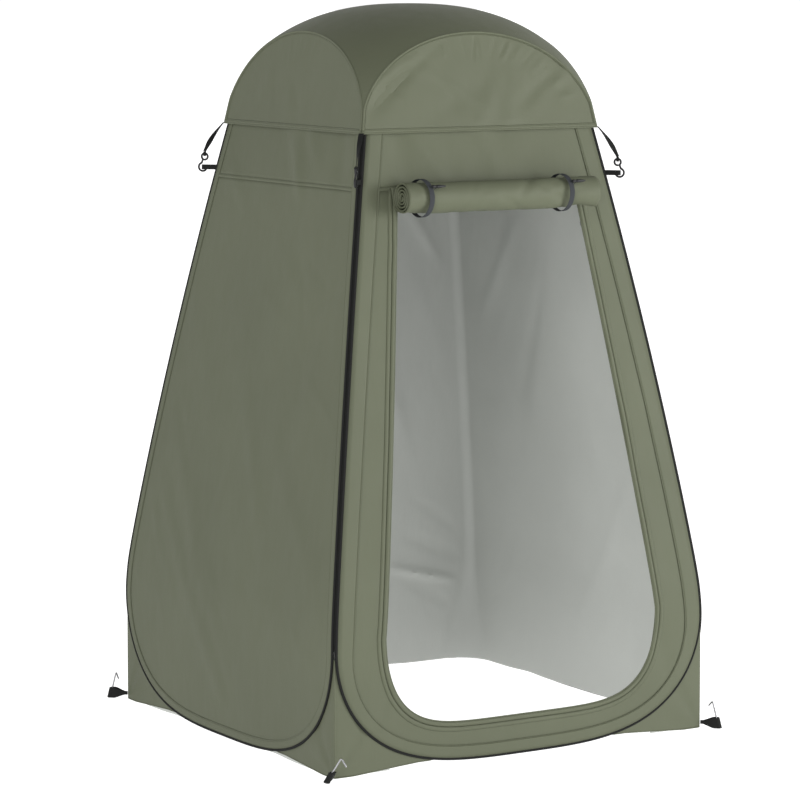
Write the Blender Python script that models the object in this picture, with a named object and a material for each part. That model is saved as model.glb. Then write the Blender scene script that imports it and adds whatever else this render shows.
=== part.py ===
"""Pop-up privacy shower tent: four closed spring-steel hoops, sewn into the edges of four
leaning walls, with a removable rain cap that straps and hooks hold down.

Metres, +Z up. The front wall, with the door, faces -Y. The origin is the middle of the
footprint, on the ground. Each wall is drawn once in its own coordinates (sideways, up,
outwards) and turned about +Z to its side.
"""

import math

import bmesh
import bpy
from mathutils import Matrix, Vector

# --- driving dimensions ---------------------------------------------------------------
BASE_HALF = 0.600          # middle of the tent to a wall, at the ground
HEM_HALF = 0.372           # the same, at the rain cap's hem
HEM_Z = 1.692              # height of the cap's hem
KNEE_Z = 0.380             # the walls stand upright below this and lean in above it
KNEE_SOFTNESS = 0.050
WALL_BOW = 0.010           # how far the hoops spring outwards half way up
CROWN_RISE = 0.331         # cap's hem to its top
SEAM_Z = 1.535             # seam that joins each wall's two panels
FABRIC = 0.003             # thickness of a stand-in sheet
GAP = 0.0004               # clearance between touching solids

# hoops and the binding folded over them
CORNER_GAP = 0.0075        # corner line to a hoop's centre line
FOOT_Z = 0.0040            # lowest point of a hoop's centre line
FOOT_TOP = 0.330           # where a hoop's rounded foot meets its straight side
FOOT_POWER = 3.4           # squareness of the foot: 2 would be an ellipse
ARCH_RISE = 0.247          # height of a hoop's arch above the hem
ARCH_POWER = 2.55          # how long the arch follows the corner before it turns in
BINDING_HALF = 0.004       # half the binding's width, along the wall
BINDING_OUT = 0.003        # half the binding's thickness, across the wall
LIP_INNER = 0.0019         # half the binding's inner width, where the wall's edge goes in
WIRE_RADIUS = 0.0015
WIRE_OFFSET = 0.0009

# door opening in the front wall, and the rolled-up door
OPEN_HALF_FOOT = 0.437
OPEN_HALF_TOP = 0.283
OPEN_FOOT_Z = 0.110
OPEN_FOOT_TOP = 0.360
OPEN_POWER = 5.2
ZIP_WIDTH = 0.014
ZIP_THICK = 0.0016
ROLL_Z = 1.514
ROLL_Y = -0.4620
ROLL_LEFT = -0.306
ROLL_RIGHT = 0.311
ROLL_END_RADIUS = 0.0470
ROLL_WAIST_RADIUS = 0.0460
TIE_X = (-0.245, 0.205)
TIE_WIDTH = 0.014
TIE_INNER = 0.0480
TIE_THICK = 0.0014
TOGGLE_LENGTH = 0.044
TOGGLE_RADIUS = 0.0045
TOGGLE_TILT = math.radians(35)      # round the roll, from straight ahead towards up
TOGGLE_FORWARD = 0.010              # pivot to the toggle's near end

# corner gussets, their webbing tabs and the stakes
GUSSET_HEM = ((0.0, 0.060), (0.004, 0.120), (0.009, 0.190), (0.014, 0.260))
TAB_LENGTH = 0.052
TAB_HEIGHT = 0.030
TAB_PINCH = 0.010
TAB_BOTTOM = 0.001
TAB_BAND = 0.0018
TAB_EYE = 0.0090           # half the eye's width
STAKE_RADIUS = 0.0022
STAKE_SHAFT = 0.078
STAKE_ARM = 0.027
STAKE_ARM_ANGLE = math.radians(62)

# straps, hooks and the webbing loops they hook into, in the plane of a corner's diagonal
STRAP_TOP = (0.5405, 1.6840)        # (distance from the tent's axis, height)
STRAP_FOOT = (0.5975, 1.6010)
STRAP_BULGE = 0.004
STRAP_WIDTH = 0.014
STRAP_THICK = 0.0018
STRAP_LOOP_HALF = 0.0036
STRAP_LOOP_TOP = 0.0040             # above the middle of the eye's top wire
STRAP_LOOP_BOTTOM = -0.0066
STRAP_LOOP_BAND = 0.0014
STRAP_LOOP_WIDE = 0.0070            # gathered, so that the hook can swivel in it
EYE_CENTRE = (0.5970, 1.5865)
EYE_RADIUS = 0.0090
CURL_CENTRE = (0.6030, 1.5570)
CURL_RADIUS = 0.0118
HOOK_WIRE = 0.0028
LOOP_ROOT = 0.5670
LOOP_TIP = 0.6060
LOOP_LOW = 1.5500
LOOP_HEIGHT = 0.0140
LOOP_HALF = 0.0048
LOOP_BAND = 0.0013

# rain cap and the roof net under it
CAP_OUT = 0.0075           # cap's outer face beyond the middle of the wall
CAP_DROP = 0.010           # the cap's hem hangs this far below the hem line
CAP_OCTANT = (0.0, 7.5, 15.0, 22.5, 30.0, 36.0, 40.0, 43.0)   # meridians, in degrees
CAP_ROWS = 7
NET_DROP = 0.017
NET_INSET = 0.010
NET_FOOT = 0.030
NET_SIDES = 32
NET_ROWS = 6
NET_THICK = 0.0020

# zip sliders
SLIDER_SIZE = (0.011, 0.006, 0.015)
PULL_SIZE = (0.006, 0.0020, 0.026)
SLIDER_GAP = 0.0012
SLIDER_Z = 1.420

SIDES = ("front", "right", "back", "left")
CORNERS = ("front_right", "back_right", "back_left", "front_left")
# stakes lean as they were pushed in: sideways, outwards, and the way the arm points,
# turned from inwards towards the corner's right, all in degrees
STAKE_LEANS = {"front_right": (0, 14, 45), "back_right": (31, 4, 90),
               "back_left": (0, 14, 45), "front_left": (31, 4, 90)}


# --- scene and materials -----------------------------------------------------------------
for old in list(bpy.data.objects):
    bpy.data.objects.remove(old, do_unlink=True)


def material(name, colour, roughness, metallic=0.0):
    made = bpy.data.materials.new(name)
    made.use_nodes = True
    shader = made.node_tree.nodes["Principled BSDF"]
    shader.inputs["Base Color"].default_value = (*colour, 1.0)
    shader.inputs["Roughness"].default_value = roughness
    shader.inputs["Metallic"].default_value = metallic
    return made


OLIVE = material("olive_fabric", (0.155, 0.168, 0.115), 0.75)
BLACK_TAPE = material("black_webbing", (0.016, 0.016, 0.015), 0.80)
GREY_TAPE = material("grey_tape", (0.065, 0.067, 0.070), 0.75)
NET = material("roof_net", (0.020, 0.020, 0.020), 0.85)
STEEL = material("spring_steel", (0.55, 0.55, 0.56), 0.35, 1.0)
PLASTIC = material("black_plastic", (0.020, 0.020, 0.020), 0.45)


# --- shape helpers -----------------------------------------------------------------------
def place(name, mesh_builder, finish, smooth=False, matrix=None):
    """Turns a bmesh into a named object: doubles merged, faces outwards."""
    bmesh.ops.remove_doubles(mesh_builder, verts=mesh_builder.verts, dist=1e-5)
    bmesh.ops.recalc_face_normals(mesh_builder, faces=mesh_builder.faces)
    mesh = bpy.data.meshes.new(name)
    mesh_builder.to_mesh(mesh)
    mesh_builder.free()
    mesh.materials.append(finish)
    if smooth:
        mesh.shade_smooth()
        mesh.set_sharp_from_angle(angle=math.radians(35))
    made = bpy.data.objects.new(name, mesh)
    bpy.context.scene.collection.objects.link(made)
    if matrix is not None:
        made.matrix_world = matrix
    return made


def loft(name, rings, finish, closed=False, smooth=True, matrix=None):
    """A closed solid through cross-sections with the same number of points each.

    An open run of rings gets a flat face at each end. A closed run joins up."""
    builder = bmesh.new()
    rows = [[builder.verts.new(point) for point in ring] for ring in rings]
    count = len(rows[0])
    pairs = zip(rows, rows[1:] + rows[:1]) if closed else zip(rows, rows[1:])
    for first, second in pairs:
        for i in range(count):
            j = (i + 1) % count
            builder.faces.new((first[i], first[j], second[j], second[i]))
    if not closed:
        builder.faces.new(rows[0])
        builder.faces.new(rows[-1][::-1])
        bmesh.ops.triangulate(builder, faces=[f for f in builder.faces if len(f.verts) > 4])
    return place(name, builder, finish, smooth, matrix)


def rod(name, points, radius, finish, closed=False, resolution=0, matrix=None):
    """A round wire along points: a curve with a bevel and filled ends."""
    data = bpy.data.curves.new(name, "CURVE")
    data.dimensions = "3D"
    data.bevel_depth = radius
    data.bevel_resolution = resolution
    data.use_fill_caps = not closed
    spline = data.splines.new("POLY")
    spline.points.add(len(points) - 1)
    for slot, point in zip(spline.points, points):
        slot.co = (*point, 1.0)
    spline.use_cyclic_u = closed
    data.materials.append(finish)
    made = bpy.data.objects.new(name, data)
    bpy.context.scene.collection.objects.link(made)
    if matrix is not None:
        made.matrix_world = matrix
    return made


def turned(quarter):
    """Rotation that carries the front wall, or the front-right corner, to a side."""
    return Matrix.Rotation(quarter * math.pi / 2, 4, "Z")


# --- the tent's form -----------------------------------------------------------------------
def wall_half(z):
    """Distance from the tent's axis to the middle of a wall, at a height."""
    above = z - KNEE_Z
    rise = 0.5 * (above + math.hypot(above, KNEE_SOFTNESS))
    share = min(max(above / (HEM_Z - KNEE_Z), 0.0), 1.0)
    lean = (BASE_HALF - HEM_HALF) / (HEM_Z - KNEE_Z)
    return BASE_HALF - lean * rise + WALL_BOW * 4 * share * (1 - share)


def crown_radius(share, corner_radius):
    """Radius of the round crown at a share of its rise: a flattened dome."""
    return corner_radius * max(1 - max(share, 0.0) ** 1.6, 0.0) ** (1 / 2.4)


def crown_share(level):
    """Share of the rise where the crown's radius is cos(level) of its corner radius."""
    return (1 - max(math.cos(level), 0.0) ** 2.4) ** (1 / 1.6)


def on_wall(sideways, up, out):
    return Vector((sideways, -(wall_half(up) + out), up))


def hoop_half_outline():
    """Right half of a hoop's centre line, from the middle of its foot to its top."""
    foot_half = wall_half(FOOT_TOP) - CORNER_GAP
    drop = FOOT_TOP - FOOT_Z
    points = []
    for step in range(9):
        share = math.sin(math.radians(90 * step / 8))
        points.append((foot_half * share,
                       FOOT_TOP - drop * math.sqrt(1 - share ** FOOT_POWER)))
    for step in range(1, 8):
        z = FOOT_TOP + (HEM_Z - FOOT_TOP) * step / 7
        points.append((wall_half(z) - CORNER_GAP, z))
    for step in range(1, 9):
        angle = math.radians(90 * step / 8)
        z = HEM_Z + ARCH_RISE * math.sin(angle) ** (2 / ARCH_POWER)
        points.append(((wall_half(z) - CORNER_GAP) * math.cos(angle), z))
    return points


def opening_half_outline():
    """Right half of the door opening, from the middle of its foot to the seam above it."""
    drop = OPEN_FOOT_TOP - OPEN_FOOT_Z
    points = []
    for step in range(9):
        share = math.sin(math.radians(90 * step / 8))
        points.append((OPEN_HALF_FOOT * share,
                       OPEN_FOOT_TOP - drop * (1 - share ** OPEN_POWER) ** (1 / 2.2)))
    for step in range(1, 8):
        share = step / 7
        points.append((OPEN_HALF_FOOT + (OPEN_HALF_TOP - OPEN_HALF_FOOT) * share,
                       OPEN_FOOT_TOP + (SEAM_Z - GAP - OPEN_FOOT_TOP) * share))
    return points


def offset(points, distance):
    """The outline moved outwards, square to itself, by a distance."""
    moved = []
    for i, (x, z) in enumerate(points):
        before = points[i - 1] if i else (-points[1][0], points[1][1])
        after = points[i + 1] if i + 1 < len(points) else (2 * x - before[0], 2 * z - before[1])
        if i + 1 == len(points) and x < 1e-6:
            after = (-before[0], before[1])
        along = (after[0] - before[0], after[1] - before[1])
        length = math.hypot(*along)
        moved.append((x + distance * along[1] / length, z - distance * along[0] / length))
    return moved


def mirrored(points):
    """A half outline completed to its whole loop, starting at the foot."""
    left = [(-x, z) for x, z in points if x > 1e-6]
    return points + left[::-1]


HOOP = hoop_half_outline()
HOOP_FOOT_COUNT = 9
OPENING = opening_half_outline()
WALL_EDGE = offset(HOOP, -0.0010)
GUSSET_EDGE = offset(HOOP, BINDING_HALF + GAP)


# --- hoops, bindings and walls ---------------------------------------------------------------
def hoop_section(index, across, out):
    """A point of a hoop's cross-section: across is in the wall's plane, away from its middle."""
    x, z = mirrored(offset(HOOP, across))[index]
    return on_wall(x, z, out)


def make_hoops():
    loop_count = len(mirrored(HOOP))
    low, high, lip = -BINDING_HALF, BINDING_HALF, LIP_INNER
    channel = ((low, -BINDING_OUT), (high, -BINDING_OUT), (high, BINDING_OUT),
               (low, BINDING_OUT), (low, lip), (high - 0.0011, lip),
               (high - 0.0011, -lip), (low, -lip))
    for quarter, side in enumerate(SIDES):
        wire = [hoop_section(i, WIRE_OFFSET, 0.0) for i in range(loop_count)]
        rod(f"hoop_{side}", wire, WIRE_RADIUS, STEEL, closed=True, matrix=turned(quarter))
        rings = [[hoop_section(i, *corner) for corner in channel] for i in range(loop_count)]
        loft(f"binding_{side}", rings, BLACK_TAPE, closed=True, matrix=turned(quarter))


def panel_ring(half, z):
    """A wall panel's cross-section at a height: a thin rectangle."""
    out = FABRIC / 2
    return [on_wall(-half, z, out), on_wall(half, z, out),
            on_wall(half, z, -out), on_wall(-half, z, -out)]


def half_at(outline, z):
    """Half-width of an outline's side at a height."""
    for (x0, z0), (x1, z1) in zip(outline, outline[1:]):
        if z0 <= z <= z1:
            return x0 + (x1 - x0) * (z - z0) / (z1 - z0)
    raise ValueError("height outside the outline")


def make_walls():
    below = [(x, z) for x, z in WALL_EDGE[1:] if z < SEAM_Z - 0.02]
    above = [(x, z) for x, z in WALL_EDGE[:-1] if z > SEAM_Z + 0.02]
    seam_half = half_at(WALL_EDGE, SEAM_Z)
    for quarter, side in enumerate(SIDES):
        top_rows = [(seam_half, SEAM_Z + GAP), *above]
        loft(f"wall_upper_{side}", [panel_ring(*row) for row in top_rows], OLIVE,
             matrix=turned(quarter))
        if side != "front":
            low_rows = [*below, (seam_half, SEAM_Z - GAP)]
            loft(f"wall_lower_{side}", [panel_ring(*row) for row in low_rows], OLIVE,
                 matrix=turned(quarter))


def band_ring(outer, inner, thickness):
    """Cross-section of a flat band between an outer and an inner edge point."""
    out = thickness / 2
    return [on_wall(*outer, out), on_wall(*inner, out),
            on_wall(*inner, -out), on_wall(*outer, -out)]


def half_loop(points):
    """A half outline completed to a U, from its top left round the foot to its top right."""
    left = [(-x, z) for x, z in points[:0:-1]]
    return left + points


def make_front_frame():
    """The lower front wall, a U round the door opening, and the zip tape along its edge."""
    sides = [half_at(WALL_EDGE, z) for _, z in OPENING[HOOP_FOOT_COUNT:]]
    outer = WALL_EDGE[:HOOP_FOOT_COUNT]
    outer = outer + [(half, z) for half, (_, z) in zip(sides, OPENING[HOOP_FOOT_COUNT:])]
    inner = offset(OPENING, ZIP_WIDTH + GAP)
    inner[-1] = (inner[-1][0], OPENING[-1][1])
    rings = [band_ring(o, i, FABRIC) for o, i in zip(half_loop(outer), half_loop(inner))]
    loft("wall_lower_front", rings, OLIVE)
    tape_outer = offset(OPENING, ZIP_WIDTH)
    tape_outer[-1] = (tape_outer[-1][0], OPENING[-1][1])
    rings = [band_ring(o, i, ZIP_THICK)
             for o, i in zip(half_loop(tape_outer), half_loop(OPENING))]
    loft("door_zip_tape", rings, BLACK_TAPE)


def make_gussets():
    """Corner pieces below the hoops' feet: an L in plan, wide at the ground."""
    rows = list(GUSSET_HEM)
    for x, z in GUSSET_EDGE[3:HOOP_FOOT_COUNT - 1]:
        if z > GUSSET_HEM[-1][0] + 0.01:
            rows.append((z, wall_half(z) - x))
    rows.append((0.300, 0.0062))
    face = FABRIC / 2
    for quarter, corner in enumerate(CORNERS):
        rings = []
        for z, leg in rows:
            a = wall_half(z)
            plan = ((a + face, -a - face), (a + face, leg - a), (a - face, leg - a),
                    (a - face, face - a), (a - leg, face - a), (a - leg, -a - face))
            rings.append([Vector((x, y, z)) for x, y in plan])
        loft(f"gusset_{corner}", rings, OLIVE, smooth=False, matrix=turned(quarter))


# --- rain cap and roof net ----------------------------------------------------------------
def takeover_share(angle, out, rise, corner_radius, low=0.0):
    """Share of the rise where the round crown becomes smaller than the leaning square that
    stands out from the walls, found by halving."""
    flat = max(abs(math.cos(angle)), abs(math.sin(angle)))
    high = 1.0
    for _ in range(40):
        middle = (low + high) / 2
        if crown_radius(middle, corner_radius) > (wall_half(HEM_Z + rise * middle) + out) / flat:
            low = middle
        else:
            high = middle
    return high


def crown_rows(start_share, rise, corner_radius, count):
    """A meridian of the round crown as (radius, height), from a share of its rise to its top."""
    start = math.acos(crown_radius(start_share, 1.0))
    rows = []
    for row in range(count + 1):
        level = start + (math.pi / 2 - start) * row / count
        radius = corner_radius * math.cos(level) if row < count else 0.0
        rows.append((radius, HEM_Z + rise * crown_share(level)))
    return rows


def cap_rows(angle, inset):
    """A meridian of the cap, hem to top: four flat lunettes, then the round crown."""
    flat = max(abs(math.cos(angle)), abs(math.sin(angle)))
    out, rise = CAP_OUT - inset, CROWN_RISE - inset
    corner_radius = math.sqrt(2) * (HEM_HALF + out)
    share = takeover_share(angle, out, rise, corner_radius)
    rows = []
    for height in [-CAP_DROP, *(rise * share * row / 4 for row in range(4))]:
        rows.append(((wall_half(HEM_Z + height) + out) / flat, HEM_Z + height))
    return rows + crown_rows(share, rise, corner_radius, CAP_ROWS)


def polar(radius, angle, z):
    return Vector((radius * math.cos(angle), radius * math.sin(angle), z))


def make_cap():
    rings = []
    octant = list(CAP_OCTANT)
    quadrant = octant + [45.0] + [90.0 - degrees for degrees in octant[:0:-1]]
    for angle in (math.radians(90 * q + degrees) for q in range(4) for degrees in quadrant):
        outer = [polar(r, angle, z) for r, z in cap_rows(angle, 0.0)]
        inner = [polar(r, angle, z) for r, z in cap_rows(angle, FABRIC)]
        rings.append(outer + inner[::-1])
    loft("rain_cap", rings, OLIVE, closed=True)


def make_roof_net():
    """Net across the hoops' arches, just under the cap's crown."""
    corner_radius = math.sqrt(2) * (HEM_HALF + CAP_OUT) - NET_DROP
    rise = CROWN_RISE - NET_DROP
    rings = []
    for step in range(NET_SIDES):
        angle = 2 * math.pi * step / NET_SIDES
        share = takeover_share(angle, -NET_INSET, rise, corner_radius, NET_FOOT / rise)
        rows = crown_rows(share, rise, corner_radius, NET_ROWS)
        thinner = 1 - NET_THICK / corner_radius
        outer = [polar(r, angle, z) for r, z in rows]
        inner = [polar(r * thinner, angle, z - NET_THICK) for r, z in rows]
        rings.append(outer + inner[::-1])
    loft("roof_net", rings, NET, closed=True)


# --- straps, hooks and corner loops ---------------------------------------------------------
def diagonal(distance, z, across=0.0):
    """A point in the plane of the front-right corner's diagonal, or across from it."""
    root = math.sqrt(0.5)
    return Vector(((distance + across) * root, (-distance + across) * root, z))


def make_strap(corner, matrix):
    """Webbing that twists a quarter turn between the cap's hem and the hook's eye."""
    rings = []
    start, end = Vector(STRAP_TOP), Vector(STRAP_FOOT)
    along = (end - start).normalized()
    side = Vector((-along.y, along.x))
    steps = 8
    for step in range(steps + 1):
        share = step / steps
        bulge = STRAP_BULGE * 4 * share * (1 - share)
        centre = start.lerp(end, share) + side * bulge
        turn = math.radians(75) * share
        wide = (math.sin(turn) * STRAP_WIDTH / 2, math.cos(turn) * STRAP_WIDTH / 2)
        thin = (math.cos(turn) * STRAP_THICK / 2, -math.sin(turn) * STRAP_THICK / 2)
        ring = []
        for w, t in ((-1, -1), (1, -1), (1, 1), (-1, 1)):
            in_plane = w * wide[0] + t * thin[0]
            point = centre + side * in_plane
            ring.append(diagonal(point.x, point.y, w * wide[1] + t * thin[1]))
        rings.append(ring)
    strap = loft(f"cap_strap_{corner}", rings, BLACK_TAPE, matrix=matrix)
    join(strap, strap_end_loop(f"strap_loop_cutter_{corner}", matrix))


def strap_end_loop(name, matrix):
    """The strap's sewn end, a flat loop round the top wire of the hook's eye."""
    inside = (STRAP_LOOP_HALF, STRAP_LOOP_TOP, STRAP_LOOP_BOTTOM)
    outside = (STRAP_LOOP_HALF + STRAP_LOOP_BAND, STRAP_LOOP_TOP + STRAP_LOOP_BAND,
               STRAP_LOOP_BOTTOM - STRAP_LOOP_BAND)
    rings = []
    for step in range(12):
        angle = 2 * math.pi * step / 12
        pair = []
        for half, top, bottom in (inside, outside):
            up = (top + bottom) / 2 + (top - bottom) / 2 * math.sin(angle)
            pair.append((half * math.cos(angle), EYE_CENTRE[1] + EYE_RADIUS + up))
        ring = []
        for along, (across, z) in ((-1, pair[0]), (1, pair[0]), (1, pair[1]), (-1, pair[1])):
            ring.append(diagonal(EYE_CENTRE[0] + along * STRAP_LOOP_WIDE / 2, z, across))
        rings.append(ring)
    return loft(name, rings, BLACK_TAPE, closed=True, matrix=matrix)


def join(body, addition):
    """Unites an addition with a body, and hides the addition."""
    addition.hide_render = True
    addition.display_type = "WIRE"
    union = body.modifiers.new("join", "BOOLEAN")
    union.operation = "UNION"
    union.solver = "EXACT"
    union.object = addition


def make_hook(corner, matrix):
    """S-hook: an eye that is bent nearly shut, then a curl that faces the other way."""
    eye, curl = Vector(EYE_CENTRE), Vector(CURL_CENTRE)
    path = []
    for step in range(13):
        angle = math.radians(-115 - 300 * step / 12)
        path.append(eye + EYE_RADIUS * Vector((math.cos(angle), math.sin(angle))))
    for step in range(12):
        angle = math.radians(75 - 250 * step / 11)
        path.append(curl + CURL_RADIUS * Vector((math.cos(angle), math.sin(angle))))
    points = [diagonal(p.x, p.y) for p in path]
    pivot = diagonal(EYE_CENTRE[0], EYE_CENTRE[1] + EYE_RADIUS)
    rod(f"s_hook_{corner}", [p - pivot for p in points], HOOK_WIRE, PLASTIC, resolution=1,
        matrix=matrix @ Matrix.Translation(pivot))


def band_loop(root, tip, half, band, low, height, straights=1):
    """Rings of a webbing band bent to a U in plan, standing on edge, closed at its root."""
    sides = []
    for start, width in ((root, half), (root + band, half - band)):
        reach = tip - half - start
        sides.append([(start + reach * step / straights, width)
                      for step in range(straights + 1)])
    lines = []
    for side in sides:
        radius = side[0][1]
        angles = [math.radians(90 - 180 * step / 8) for step in range(1, 8)]
        bend = [(tip - half + radius * math.cos(a), radius * math.sin(a)) for a in angles]
        lines.append(side + bend + [(reach, -width) for reach, width in side[::-1]])
    rings = []
    for far, near in zip(*lines):
        rings.append([(*far, low), (*near, low), (*near, low + height), (*far, low + height)])
    return rings


def make_corner_loop(corner, matrix):
    rings = band_loop(LOOP_ROOT, LOOP_TIP, LOOP_HALF, LOOP_BAND, LOOP_LOW, LOOP_HEIGHT)
    points = [[diagonal(r, z, across) for r, across, z in ring] for ring in rings]
    loft(f"corner_loop_{corner}", points, BLACK_TAPE, closed=True, matrix=matrix)


# --- stakes and their tabs -----------------------------------------------------------------
def stake_axis(corner):
    """Direction of a stake's shaft, tip to top, at the front-right corner."""
    sideways, outward, _ = (math.tan(math.radians(a)) for a in STAKE_LEANS[corner])
    up = diagonal(-outward, 1.0, sideways)
    return up.normalized()


def make_stake_and_tab(corner, matrix):
    """A bent steel peg through the eye of a webbing tab that is pinched at the gusset."""
    corner_distance = math.sqrt(2) * (wall_half(0.0) + FABRIC / 2)
    shaft = stake_axis(corner)
    middle = diagonal(corner_distance + TAB_LENGTH - TAB_EYE, TAB_BOTTOM + TAB_HEIGHT / 2)
    tip_z = STAKE_RADIUS * math.sqrt(1 - shaft.z ** 2) + GAP
    tip = middle - shaft * ((middle.z - tip_z) / shaft.z)
    top = tip + shaft * STAKE_SHAFT
    heading = math.radians(STAKE_LEANS[corner][2])
    away = diagonal(-math.cos(heading), 0.0, math.sin(heading))
    level = (away - shaft * away.dot(shaft)).normalized()
    arm = -shaft * math.cos(STAKE_ARM_ANGLE) + level * math.sin(STAKE_ARM_ANGLE)
    corner_bend = top + arm * STAKE_RADIUS
    points = [tip, top - shaft * 0.004, corner_bend, top + arm * STAKE_ARM]
    rod(f"stake_{corner}", [p - tip for p in points], STAKE_RADIUS, STEEL, resolution=1,
        matrix=matrix @ Matrix.Translation(tip))

    rings = band_loop(corner_distance + GAP * 3, corner_distance + TAB_LENGTH, TAB_EYE,
                      TAB_BAND, 0.0, 1.0, straights=8)
    placed = []
    for ring in rings:
        points = []
        share = min((ring[0][0] - corner_distance) / (TAB_LENGTH * 0.62), 1.0)
        height = TAB_PINCH + (TAB_HEIGHT - TAB_PINCH) * share
        for reach, across, level_share in ring:
            spread = 0.30 + 0.70 * share
            up = TAB_BOTTOM + (TAB_HEIGHT - height) * 0.5 + height * level_share
            slant = (up - middle.z) / shaft.z * share
            point = diagonal(reach, up, across * spread)
            points.append(point + Vector((shaft.x, shaft.y, 0.0)) * slant)
        placed.append(points)
    loft(f"stake_tab_{corner}", placed, BLACK_TAPE, closed=True, matrix=matrix)


def make_corner_fittings():
    for quarter, corner in enumerate(CORNERS):
        matrix = turned(quarter)
        make_strap(corner, matrix)
        make_hook(corner, matrix)
        make_corner_loop(corner, matrix)
        make_stake_and_tab(corner, matrix)


# --- rolled-up door, its ties and toggles, zip sliders ----------------------------------------
def around_roll(x, radius, angle):
    """A point beside the roll: the angle runs from straight ahead towards up."""
    return Vector((x, ROLL_Y - radius * math.cos(angle), ROLL_Z + radius * math.sin(angle)))


def make_roll():
    rings = []
    for step in range(9):
        share = step / 8
        x = ROLL_LEFT + (ROLL_RIGHT - ROLL_LEFT) * share
        flare = (2 * share - 1) ** 4
        radius = ROLL_WAIST_RADIUS + (ROLL_END_RADIUS - ROLL_WAIST_RADIUS) * flare
        rings.append([around_roll(x, radius, 2 * math.pi * k / 20) for k in range(20)])
    loft("door_roll", rings, OLIVE)


def make_tie(name, x):
    """A tape tied round the roll, hanging a little slack under it."""
    rings = []
    for k in range(28):
        angle = 2 * math.pi * k / 28
        slack = 0.004 * max(-math.sin(angle), 0.0) ** 2
        inner, outer = TIE_INNER + slack, TIE_INNER + slack + TIE_THICK
        lean = 0.006 * math.cos(angle)
        left, right = x + lean - TIE_WIDTH / 2, x + lean + TIE_WIDTH / 2
        rings.append([around_roll(left, inner, angle), around_roll(right, inner, angle),
                      around_roll(right, outer, angle), around_roll(left, outer, angle)])
    loft(name, rings, GREY_TAPE, closed=True)


def make_toggle(name, x):
    """A tapered peg that lies along the roll, turning about its near end."""
    distance = TIE_INNER + TIE_THICK + TOGGLE_RADIUS + GAP
    pivot = around_roll(x, distance, TOGGLE_TILT)
    rings = []
    for share, thickness in ((0, 0.55), (0.08, 0.95), (0.45, 1.0), (0.85, 0.72), (1, 0.35)):
        along = TOGGLE_LENGTH * share - TOGGLE_FORWARD
        radius = TOGGLE_RADIUS * thickness
        rings.append([Vector((along, radius * math.cos(math.pi * k / 4),
                              radius * math.sin(math.pi * k / 4))) for k in range(8)])
    loft(name, rings, PLASTIC, matrix=Matrix.Translation(pivot))


def make_slider(name, side):
    """A zip slider on the inner face of the tape, with its pull hanging from it."""
    half = half_at(OPENING, SLIDER_Z) + ZIP_WIDTH / 2
    centre = on_wall(side * half, SLIDER_Z, -(ZIP_THICK / 2 + SLIDER_GAP + SLIDER_SIZE[1] / 2))
    direction = slide_direction(side)
    across = Vector((1.0, 0.0, 0.0))
    across = (across - direction * across.dot(direction)).normalized()
    inwards = across.cross(direction)
    inwards = inwards if inwards.y > 0 else -inwards
    w, t, h = (size / 2 for size in SLIDER_SIZE)
    pw, pt, ph = PULL_SIZE[0] / 2, PULL_SIZE[1], PULL_SIZE[2]
    rings = []
    for down, half_width, back, front in (
            (-h, w * 0.8, -t, t * 0.3), (-h * 0.6, w, -t, t), (h * 0.4, w, -t, t),
            (h, w * 0.6, -t * 0.2, t), (h + 0.002, pw, t - pt, t), (h + ph, pw, t - pt, t)):
        ring = []
        for a, b in ((-half_width, back), (half_width, back), (half_width, front),
                     (-half_width, front)):
            ring.append(across * a + inwards * b + direction * down)
        rings.append(ring)
    loft(name, rings, STEEL, smooth=False, matrix=Matrix.Translation(centre))


def slide_direction(side):
    """Downwards along the straight side of the zip."""
    drop = 0.30
    high = on_wall(side * half_at(OPENING, SLIDER_Z), SLIDER_Z, 0.0)
    low = on_wall(side * half_at(OPENING, SLIDER_Z - drop), SLIDER_Z - drop, 0.0)
    return (low - high).normalized()


def make_door():
    make_roll()
    for side, x in zip(("left", "right"), TIE_X):
        make_tie(f"roll_tie_{side}", x)
        make_toggle(f"tie_toggle_{side}", x + 0.017)
    make_slider("zip_slider_left", -1)
    make_slider("zip_slider_right", 1)


make_hoops()
make_walls()
make_front_frame()
make_gussets()
make_cap()
make_roof_net()
make_corner_fittings()
make_door()
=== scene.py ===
# %% [markdown]
# # A pop-up privacy shower tent
# The tent is four closed spring hoops sewn into the edges of four leaning walls. A rain cap sits
# on top, held down by straps and hooks, and pegs hold the corners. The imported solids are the
# frame. This lesson puts cloth, seams, tape and wire on them, one piece at a time.

# %% Load the frame
import math

import bmesh
import bpy
import numpy as np
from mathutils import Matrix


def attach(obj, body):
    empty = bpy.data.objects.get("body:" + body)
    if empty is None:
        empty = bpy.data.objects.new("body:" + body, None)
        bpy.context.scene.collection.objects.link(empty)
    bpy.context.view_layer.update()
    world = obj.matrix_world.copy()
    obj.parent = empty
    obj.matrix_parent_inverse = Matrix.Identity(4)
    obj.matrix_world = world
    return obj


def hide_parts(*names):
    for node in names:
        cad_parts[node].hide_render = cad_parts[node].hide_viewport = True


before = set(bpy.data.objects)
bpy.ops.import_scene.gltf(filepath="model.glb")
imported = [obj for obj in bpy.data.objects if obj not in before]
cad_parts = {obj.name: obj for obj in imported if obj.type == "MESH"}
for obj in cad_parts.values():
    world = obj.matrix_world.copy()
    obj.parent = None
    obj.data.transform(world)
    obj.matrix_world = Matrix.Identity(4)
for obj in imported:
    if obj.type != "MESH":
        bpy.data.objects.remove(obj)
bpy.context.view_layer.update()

# %% [markdown]
# ## The form in numbers
# Every wall stands upright as far as a knee, then leans in to the cap's hem. All four are alike,
# so each shape is drawn once for the front wall and turned about the upright axis. These numbers
# are those of the solids, because cloth has to lie on them.

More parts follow.
